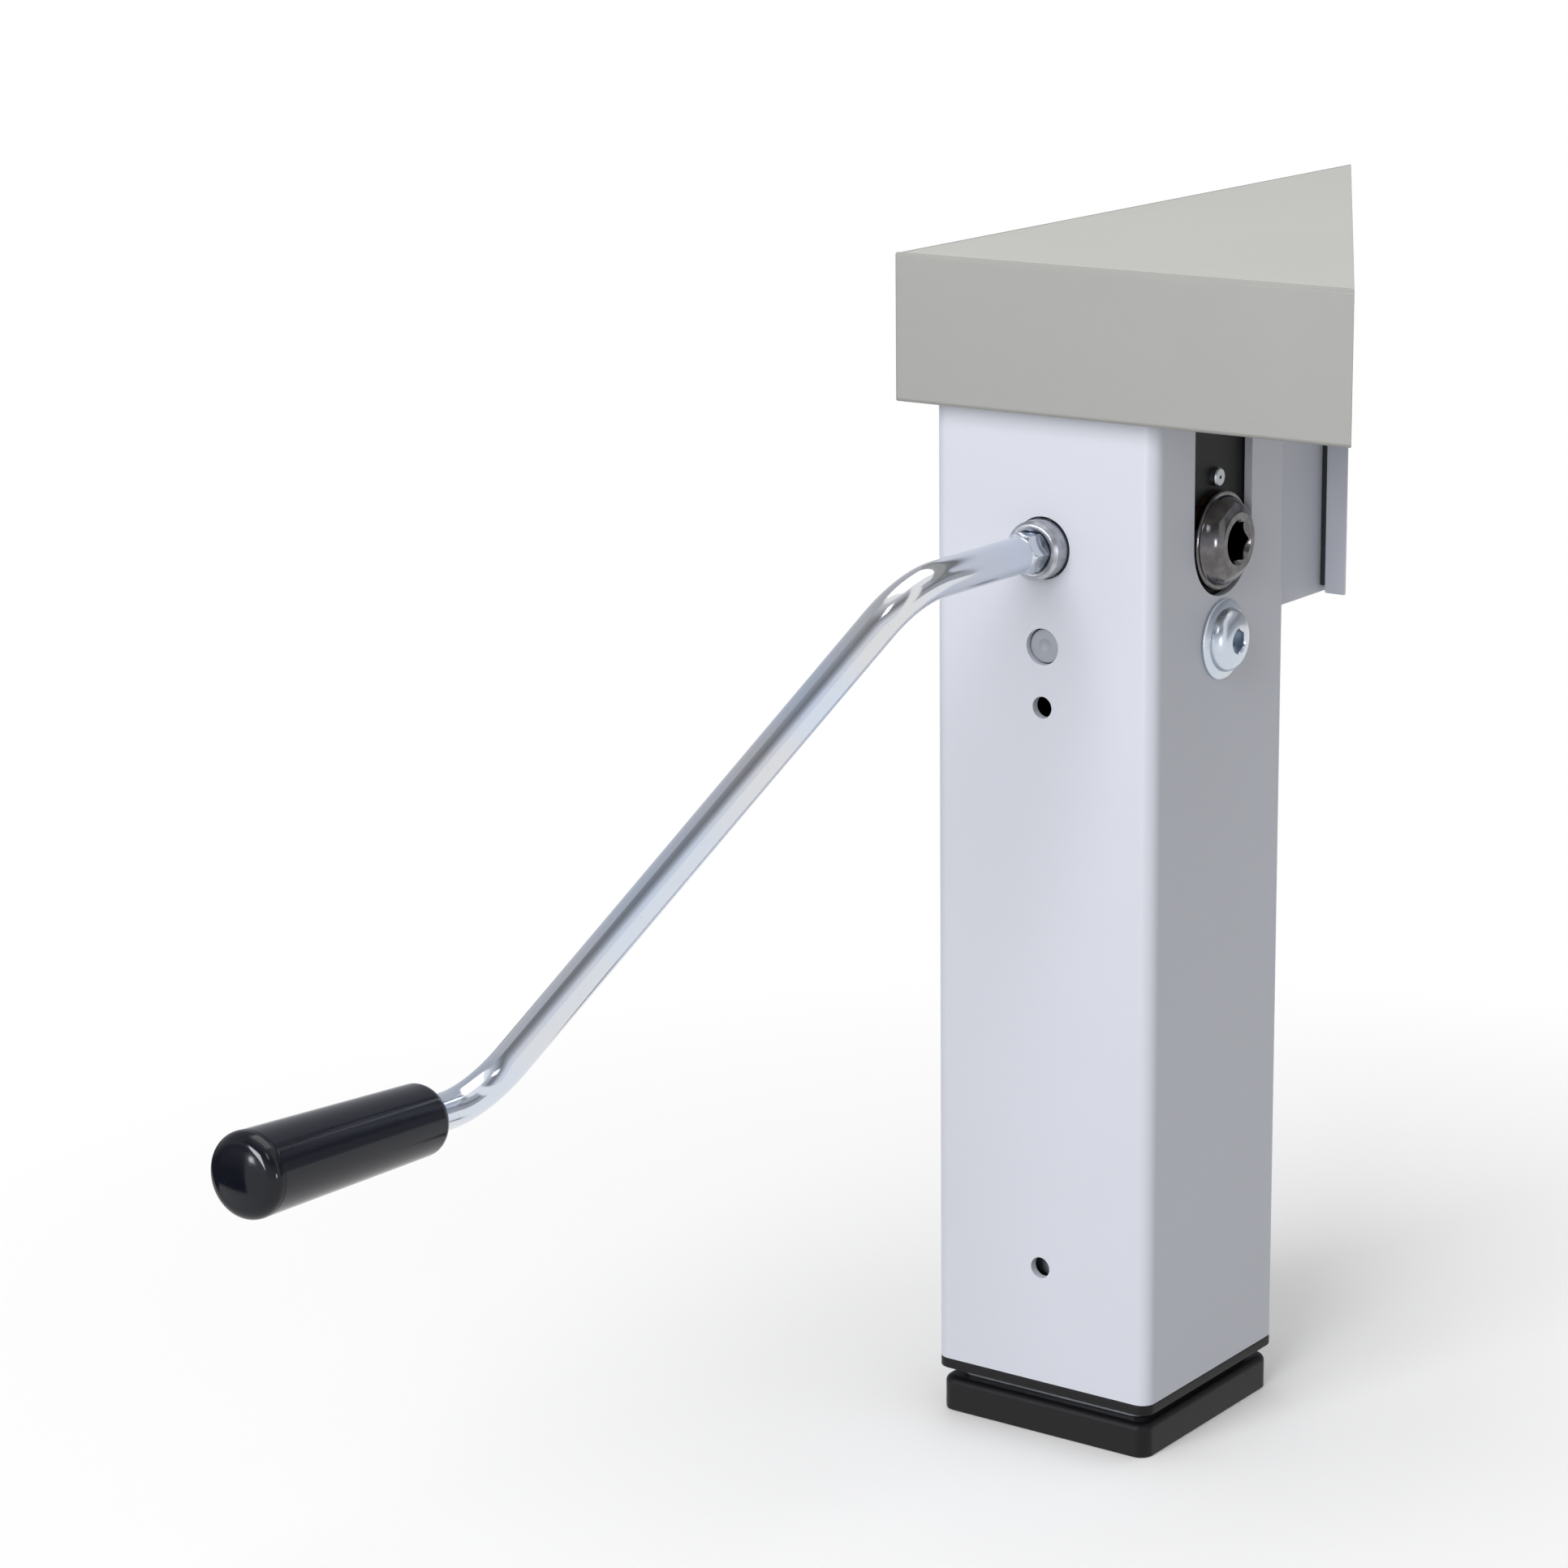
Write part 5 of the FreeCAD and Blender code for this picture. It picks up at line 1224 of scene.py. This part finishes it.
@dataclass
class Spindle(Assembly):
    """The lifting spindle with its crown wheel, race, stop washer and screws."""

    pitch: float = 4 * MM
    depth: float = 2 * MM
    outer: float = 8 * MM
    collar: float = 4 * MM
    journal: float = 7.5 * MM
    wheel_seat: float = 6 * MM
    screw_hole: float = 3.02 * MM
    hole_depth: float = 11 * MM

    def build(self) -> None:
        """Makes the threaded bar and the plain head above it."""
        low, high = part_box("spindle")
        bearing = self.low("thrust_race_lower").z
        collar_foot = bearing - self.collar
        foot = Vector((0, 0, low.z))
        core = self.outer - self.depth
        bar = threaded_bar("spindle_thread", foot, collar_foot - low.z, core, self.outer, self.pitch)
        seat(settled(bar, crease=50), Finishes.BEARING_STEEL, "spindle", "spindle")
        collar = (high.x - low.x) / 2
        shoulder = self.low("crown_wheel").z
        bevel = 0.4 * MM
        rings = [
            Ring(0, collar_foot + 0.01 * MM),
            Ring(collar - bevel, collar_foot + 0.01 * MM),
            Ring(collar, collar_foot + bevel),
            Ring(collar, bearing),
            Ring(self.journal, bearing),
            Ring(self.journal, shoulder),
            Ring(self.wheel_seat, shoulder),
            Ring(self.wheel_seat, high.z - bevel),
            Ring(self.wheel_seat - bevel, high.z),
            Ring(self.screw_hole, high.z),
            Ring(self.screw_hole, high.z - self.hole_depth),
            Ring(0, high.z - self.hole_depth - 1 * MM),
        ]
        head = settled(turned("spindle_head", Axis(Vector(), Z_AXIS), rings, 72))
        seat(head, Finishes.BEARING_STEEL, "spindle")

    def dress(self) -> None:
        """Finishes the wheel, the race and the end stop."""
        dress(self.nodes, ["crown_wheel", "thrust_race_lower"], Finishes.BEARING_STEEL)
        dress(self.nodes, ["crown_washer", "crown_screw", "stop_washer", "stop_screw"],
              Finishes.ZINC)


@dataclass
class InnerLeg(Assembly):
    """The inner tube that stands on the floor, with its foot, glide, nut plate and nut."""

    def build(self) -> None:
        """Rounds the edges of the tube, the foot and the glide."""
        self.soften(["inner_leg_tube"], 0.3 * MM, Finishes.BARE_STEEL, "base")
        self.soften(["foot_cap", "upper_glide_collar"], 0.5 * MM, Finishes.BLACK_PLASTIC, "base")
        self.soften(["nut_plate"], 0.3 * MM, Finishes.BARE_STEEL, "base")

    def dress(self) -> None:
        """Finishes the nut and its screws."""
        dress(self.nodes, ["spindle_nut"], Finishes.BRONZE)
        dress(self.nodes, ["nut_screws"], Finishes.ZINC)


@dataclass
class Crank(Assembly):
    """The bent bar with its six-sided tip, and the grip that spins on it."""

    joints: list[dict[str, Any]]
    bar: float = 5 * MM
    bend: float = 22 * MM
    reach: float = 62.5 * MM
    shank: float = 21.3 * MM
    grip_gap: float = 0.3 * MM
    grip_length: float = 72.3 * MM
    grip_root: float = 9.5 * MM
    grip_end: float = 11 * MM
    grip_bore: float = 4.08 * MM
    grip_round: float = 3.6 * MM
    stem: float = 4 * MM
    stem_length: float = 61.1 * MM
    cap_length: float = 5 * MM
    cap_bore: float = 7.5 * MM
    cap_crown: float = 0.8 * MM

    def build(self) -> None:
        """Makes the bar, the tip, the stem and the grip."""
        spin = next(joint for joint in self.joints if joint["name"] == "grip_spin")
        end = Vector(spin["pos_m"])
        out = Vector(spin["axis"]).normalized()
        face = -self.low("outer_leg_tube").y
        axis_height = self.middle("input_sleeve").z
        start = Vector((0, self.low("crank_tip").y, axis_height))
        first = Vector((0, -face - self.reach, axis_height))
        second = end - out * self.shank
        bar = bent_bar("crank_bar", [start, first, second, end], self.bar, self.bend)
        seat(settled(bar), Finishes.CHROME_BAR, "crank", "crank_rod")
        seat(self.tip(start), Finishes.CHROME_BAR, "crank", "crank_tip")
        shank = Axis(end, out)
        seat(self.grip_stem(shank), Finishes.CHROME_BAR, "crank")
        seat(self.grip(shank), Finishes.GRIP_BLACK, "grip", "crank_grip")
        seat(self.cap(shank), Finishes.CAP_BLACK, "grip", "grip_cap")

    def tip(self, end: Vector) -> Piece:
        """Makes the six-sided tip, turned down to the bar's width at its outer end.

        Args:
            end: the outer end of the tip, on the crank's axis.

        Returns:
            The tip.
        """
        length = self.high("crank_tip").y - end.y
        half = self.bar
        corner = half / math.cos(math.pi / 6) + 0.01 * MM
        axis = Axis(end, Y_AXIS)
        rings = [
            Ring(0, 0),
            Ring(half - 0.1 * MM, 0),
            Ring(half, 0.4 * MM, Form.HEXAGON, half + 0.15 * MM),
            Ring(half, 1.6 * MM, Form.HEXAGON, corner),
            Ring(half, length - 1.3 * MM, Form.HEXAGON, corner),
            Ring(half, length - 0.8 * MM, Form.HEXAGON, half + 0.1 * MM),
            Ring(half - 0.8 * MM, length),
            Ring(0, length),
        ]
        return settled(turned("tip", axis, rings), 0.1 * MM, crease=24)

    def grip_stem(self, axis: Axis) -> Piece:
        """Makes the stem on which the grip turns, sunk a little into the bar.

        Args:
            axis: the end of the bar and the direction of its shank.

        Returns:
            The stem.
        """
        bevel = 0.5 * MM
        rings = [
            Ring(0, -bevel),
            Ring(self.stem, -bevel),
            Ring(self.stem, self.stem_length - bevel),
            Ring(self.stem - bevel, self.stem_length),
            Ring(0, self.stem_length),
        ]
        return settled(turned("grip_stem", axis, rings, 48))

    def grip(self, axis: Axis) -> Piece:
        """Makes the tapered grip, bored for the stem.

        Args:
            axis: the end of the bar and the direction of its shank.

        Returns:
            The grip.
        """
        start = self.grip_gap
        end = start + self.grip_length - self.cap_length
        pocket = end - 8.3 * MM
        bend = self.grip_round
        rings = [
            *arc((self.grip_root - bend, start + bend), (bend, bend), (-math.pi / 2, 0), 8),
            Ring(self.grip_end - 0.04 * MM, end - 0.2 * MM),
            Ring(self.grip_end - 0.25 * MM, end),
            Ring(self.cap_bore, end),
            Ring(self.cap_bore, pocket),
            Ring(self.grip_bore, pocket),
            Ring(self.grip_bore, start),
        ]
        return settled(turned("grip_sleeve", axis, rings, 120), crease=30)

    def cap(self, axis: Axis) -> Piece:
        """Makes the cap: a plug under a rounded, slightly crowned top.

        Args:
            axis: the end of the bar and the direction of its shank.

        Returns:
            The cap.
        """
        end = self.grip_gap + self.grip_length
        base = end - self.cap_length
        seam = 0.02 * MM
        plug = base - 4 * MM
        bend = self.grip_round
        flat = self.grip_end - bend
        crown = self.cap_crown
        rings = [
            Ring(0, plug),
            Ring(self.cap_bore - seam, plug),
            Ring(self.cap_bore - seam, base + seam),
            Ring(self.grip_end - 0.25 * MM, base + seam),
            Ring(self.grip_end, base + seam + 0.2 * MM),
            *arc((flat, end - crown - bend), (bend, bend), (0, math.pi / 2), 12),
        ]
        # the crown is part of a sphere about the grip's axis
        sphere = (flat * flat + crown * crown) / (2 * crown)
        steps = 8
        for step in range(1, steps):
            size = flat * (1 - step / steps)
            rings.append(Ring(size, end - sphere + math.sqrt(sphere * sphere - size * size)))
        rings.append(Ring(0, end))
        return settled(turned("grip_end_cap", axis, rings, 120), crease=30)

    def dress(self) -> None:
        """Finishes the clip that keeps the grip on its stem."""
        dress(self.nodes, ["grip_clip"], Finishes.ZINC)


# ---------------------------------------------------------------------------------------
# Studio
# ---------------------------------------------------------------------------------------
@dataclass(frozen=True)
class Softbox:
    """A square area lamp that points at the workbench corner."""

    name: str
    place: tuple[float, float, float]
    size: float
    power: float
    mirrored: bool = True
    target: tuple[float, float, float] = (0.0, 0.0, 0.2)

    def hang(self) -> None:
        """Makes the lamp and points it; unmirrored, no reflection shows it."""
        lamp = bpy.data.lights.new(self.name, "AREA")
        lamp.shape = "SQUARE"
        lamp.size = self.size
        lamp.energy = self.power
        holder = bpy.data.objects.new(self.name, lamp)
        bpy.context.scene.collection.objects.link(holder)
        holder.location = self.place
        holder.visible_glossy = self.mirrored
        way = Vector(self.target) - Vector(self.place)
        holder.rotation_euler = way.to_track_quat("-Z", "Y").to_euler()


# the chromed pieces, whose edges break up where they mirror a very bright card
CHROME_PIECES = ("crank_bar", "tip", "grip_stem")
# the levels of a card that is as bright at its foot as at its top
EVEN = ((0.0, 1.0), (1.0, 1.0))


@dataclass(frozen=True)
class Card:
    """A curved grey card round the object, which only reflections show.

    Azimuths run in degrees from the -Y side towards +X, and elevations from the horizon up.
    Levels are (share of the way up, grey) pairs.  A card that spares pieces lights all the
    others, and the spared ones see through it.
    """

    name: str
    azimuths: tuple[float, float]
    elevations: tuple[float, float]
    levels: tuple[tuple[float, float], ...]
    distance: float = 3.0
    strength: float = 1.0
    spares: tuple[str, ...] = ()

    def stand(self) -> None:
        """Makes the card."""
        across = 24
        up = 12
        points = []
        for row in range(up + 1):
            rise = math.radians(self.between(self.elevations, row / up))
            for column in range(across + 1):
                way = math.radians(self.between(self.azimuths, column / across))
                flat = Vector((math.sin(way), -math.cos(way), 0)) * math.cos(rise)
                points.append((flat + Z_AXIS * math.sin(rise)) * self.distance)
        faces = []
        for row in range(up):
            for column in range(across):
                start = row * (across + 1) + column
                faces.append([start, start + 1, start + across + 2, start + across + 1])
        card = from_faces(self.name, points, faces)
        card.data.materials.append(self.material())
        card.visible_camera = False
        card.visible_diffuse = False
        card.visible_shadow = False
        card.visible_transmission = False
        if self.spares:
            card.light_linking.receiver_collection = self.spared()

    def spared(self) -> bpy.types.Collection:
        """Returns a collection that shuts the spared pieces out of the card's light."""
        pieces = bpy.data.collections.new(self.name)
        for name in self.spares:
            pieces.objects.link(bpy.data.objects[name])
        for entry in pieces.collection_objects:
            entry.light_linking.link_state = "EXCLUDE"
        return pieces

    @staticmethod
    def between(ends: tuple[float, float], share: float) -> float:
        """Returns the value at a share of the way between two ends."""
        return ends[0] + (ends[1] - ends[0]) * share

    def material(self) -> bpy.types.Material:
        """Returns a glow that changes with the height on the card."""
        material = bpy.data.materials.new(self.name)
        material.use_nodes = True
        tree = Tree(material.node_tree)
        place = tree.add("ShaderNodeTexCoord", output="Object")
        height = tree.add("ShaderNodeSeparateXYZ", None, {"Vector": place}, "Z")
        low, high = (self.distance * math.sin(math.radians(end)) for end in self.elevations)
        cool = (0.97, 0.99, 1.06)
        stops = [(share, tuple(grey * part for part in cool)) for share, grey in self.levels]
        tone = tree.add("ShaderNodeValToRGB", {"stops": stops}, {"Fac": height.ranged(low, high)})
        glow = tree.add("ShaderNodeEmission", None, {"Color": tone, "Strength": self.strength})
        if self.spares:
            clear = tree.add("ShaderNodeBsdfTransparent")
            glow = tree.add("ShaderNodeAddShader", None, {0: glow, 1: clear})
        tree.add("ShaderNodeOutputMaterial", None, {"Surface": glow})
        return material


@dataclass
class Studio:
    """Floor, room, lamps and camera."""

    lamps: list[Softbox] = field(default_factory=lambda: [
        Softbox("overhead", (0.0, 0.3, 2.4), 1.9, 21.0),
        Softbox("key", (0.1, -2.75, 1.7), 2.0, 68.5, mirrored=False),
    ])
    cards: list[Card] = field(default_factory=lambda: [
        Card("front_card", (-35, 78), (-4, 62),
             ((0.0, 0.85), (0.3, 0.85), (0.5, 0.45), (0.66, 0.22), (0.76, 0.3), (1.0, 0.7))),
        Card("left_card", (-182, -35), (-4, 62), ((0.0, 0.7), (0.5, 0.6), (1.0, 0.5))),
        Card("back_card", (100, 178), (0, 42),
             ((0.0, 0.42), (0.35, 0.42), (0.5, 0.2), (0.7, 0.5), (1.0, 0.5))),
        Card("high_window", (26, 40), (36, 50), EVEN, 2.0, 3.0),
        Card("low_window", (-24, -4), (5, 24), EVEN, 2.0, 17.0, CHROME_PIECES),
        Card("side_window", (60, 68), (3, 10), EVEN, 2.0, 15.0, CHROME_PIECES),
        Card("flag", (-110, -22), (0, 20), ((0.0, 0.05), (0.4, 0.1), (1.0, 0.6)), 0.62),
    ])
    ambient: float = 0.33
    floor_reach: float = 60.0
    floor_bounce: float = 0.5
    shadow_fade: tuple[float, float] = (0.1, 0.42)
    focal_length: float = 101.14
    sensor: float = 36.0
    camera_place: tuple[float, float, float] = (0.6244, -1.0066, 0.4813)
    yaw: float = math.radians(36.18)
    pitch: float = math.radians(14.22)
    roll: float = math.radians(0.66)

    def build(self) -> None:
        """Makes the whole studio."""
        bpy.context.scene.view_settings.view_transform = "Standard"
        self.floor()
        self.room()
        for lamp in self.lamps:
            lamp.hang()
        for card in self.cards:
            card.stand()
        bpy.context.scene.camera = self.camera()

    @staticmethod
    def seen_directly(tree: Tree) -> Wire:
        """Returns 1 for rays from the camera, a mirror or a glass, and 0 for the rest."""
        direct = tree.add("ShaderNodeLightPath", output="Is Camera Ray")
        mirrored = tree.add("ShaderNodeLightPath", output="Is Glossy Ray")
        through = tree.add("ShaderNodeLightPath", output="Is Transmission Ray")
        return direct.math("MAXIMUM", mirrored).math("MAXIMUM", through)

    def floor(self) -> None:
        """Lays a plain white floor that keeps the shadow but throws less light back up."""
        reach = self.floor_reach
        signs = ((-1, -1), (1, -1), (1, 1), (-1, 1))
        corners = [Vector((x * reach, y * reach, 0)) for x, y in signs]
        plane = from_faces("floor", corners, [[0, 1, 2, 3]])
        material = bpy.data.materials.new("studio_floor")
        material.use_nodes = True
        tree = Tree(material.node_tree)
        seen = self.seen_directly(tree)
        tone = tree.mix(seen, (self.floor_bounce,) * 3, (1.0, 1.0, 1.0))
        matt = tree.add("ShaderNodeBsdfDiffuse", None, {"Color": tone})
        # far from the object, and in reflections, the floor is as white as the room
        place = tree.add("ShaderNodeTexCoord", output="Object")
        away = tree.vector_math("LENGTH", place)
        white = tree.add("ShaderNodeEmission", None, {"Color": (1.0, 1.0, 1.0, 1.0)})
        mirrored = tree.add("ShaderNodeLightPath", output="Is Glossy Ray")
        far = away.ranged(*self.shadow_fade).math("MAXIMUM", mirrored) * seen
        shown = tree.add("ShaderNodeMixShader", None, {0: far, 1: matt, 2: white})
        tree.add("ShaderNodeOutputMaterial", None, {"Surface": shown})
        plane.data.materials.append(material)

    def room(self) -> None:
        """Fills the room with a weak even light; seen directly, it is white."""
        world = bpy.data.worlds.new("room")
        world.use_nodes = True
        tree = Tree(world.node_tree)
        strength = self.ambient + self.seen_directly(tree) * (1 - self.ambient)
        inputs = {"Color": (1.0, 1.0, 1.0, 1.0), "Strength": strength}
        glow = tree.add("ShaderNodeBackground", None, inputs)
        tree.add("ShaderNodeOutputWorld", None, {"Surface": glow})
        bpy.context.scene.world = world

    def camera(self) -> bpy.types.Object:
        """Places the camera at its yaw, pitch and roll.

        Returns:
            The camera's object.
        """
        lens = bpy.data.cameras.new("camera")
        lens.lens = self.focal_length
        lens.sensor_width = self.sensor
        lens.clip_end = 200.0
        ahead = Vector((-math.sin(self.yaw), math.cos(self.yaw), 0))
        right = Vector((math.cos(self.yaw), math.sin(self.yaw), 0))
        view = ahead * math.cos(self.pitch) - Z_AXIS * math.sin(self.pitch)
        down = -ahead * math.sin(self.pitch) - Z_AXIS * math.cos(self.pitch)
        turned_right = right * math.cos(self.roll) + down * math.sin(self.roll)
        turned_down = -right * math.sin(self.roll) + down * math.cos(self.roll)
        holder = bpy.data.objects.new("camera", lens)
        bpy.context.scene.collection.objects.link(holder)
        turn = Matrix((turned_right, -turned_down, -view)).transposed().to_4x4()
        holder.matrix_world = Matrix.Translation(self.camera_place) @ turn
        return holder


def main() -> None:
    """Loads the frame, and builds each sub-assembly and the studio."""
    logging.basicConfig(level=logging.INFO, format="%(name)s: %(message)s")
    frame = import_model()
    nodes = frame["nodes"]
    assemblies = [
        WorktopCorner(nodes),
        OuterLeg(nodes),
        Gearbox(nodes),
        Drives(nodes),
        Spindle(nodes),
        InnerLeg(nodes),
        Crank(nodes, frame["joints"]),
    ]
    for assembly in assemblies:
        LOG.info("building %s", type(assembly).__name__)
        assembly.build()
        assembly.dress()
    Studio().build()


if __name__ == "__main__":
    main()
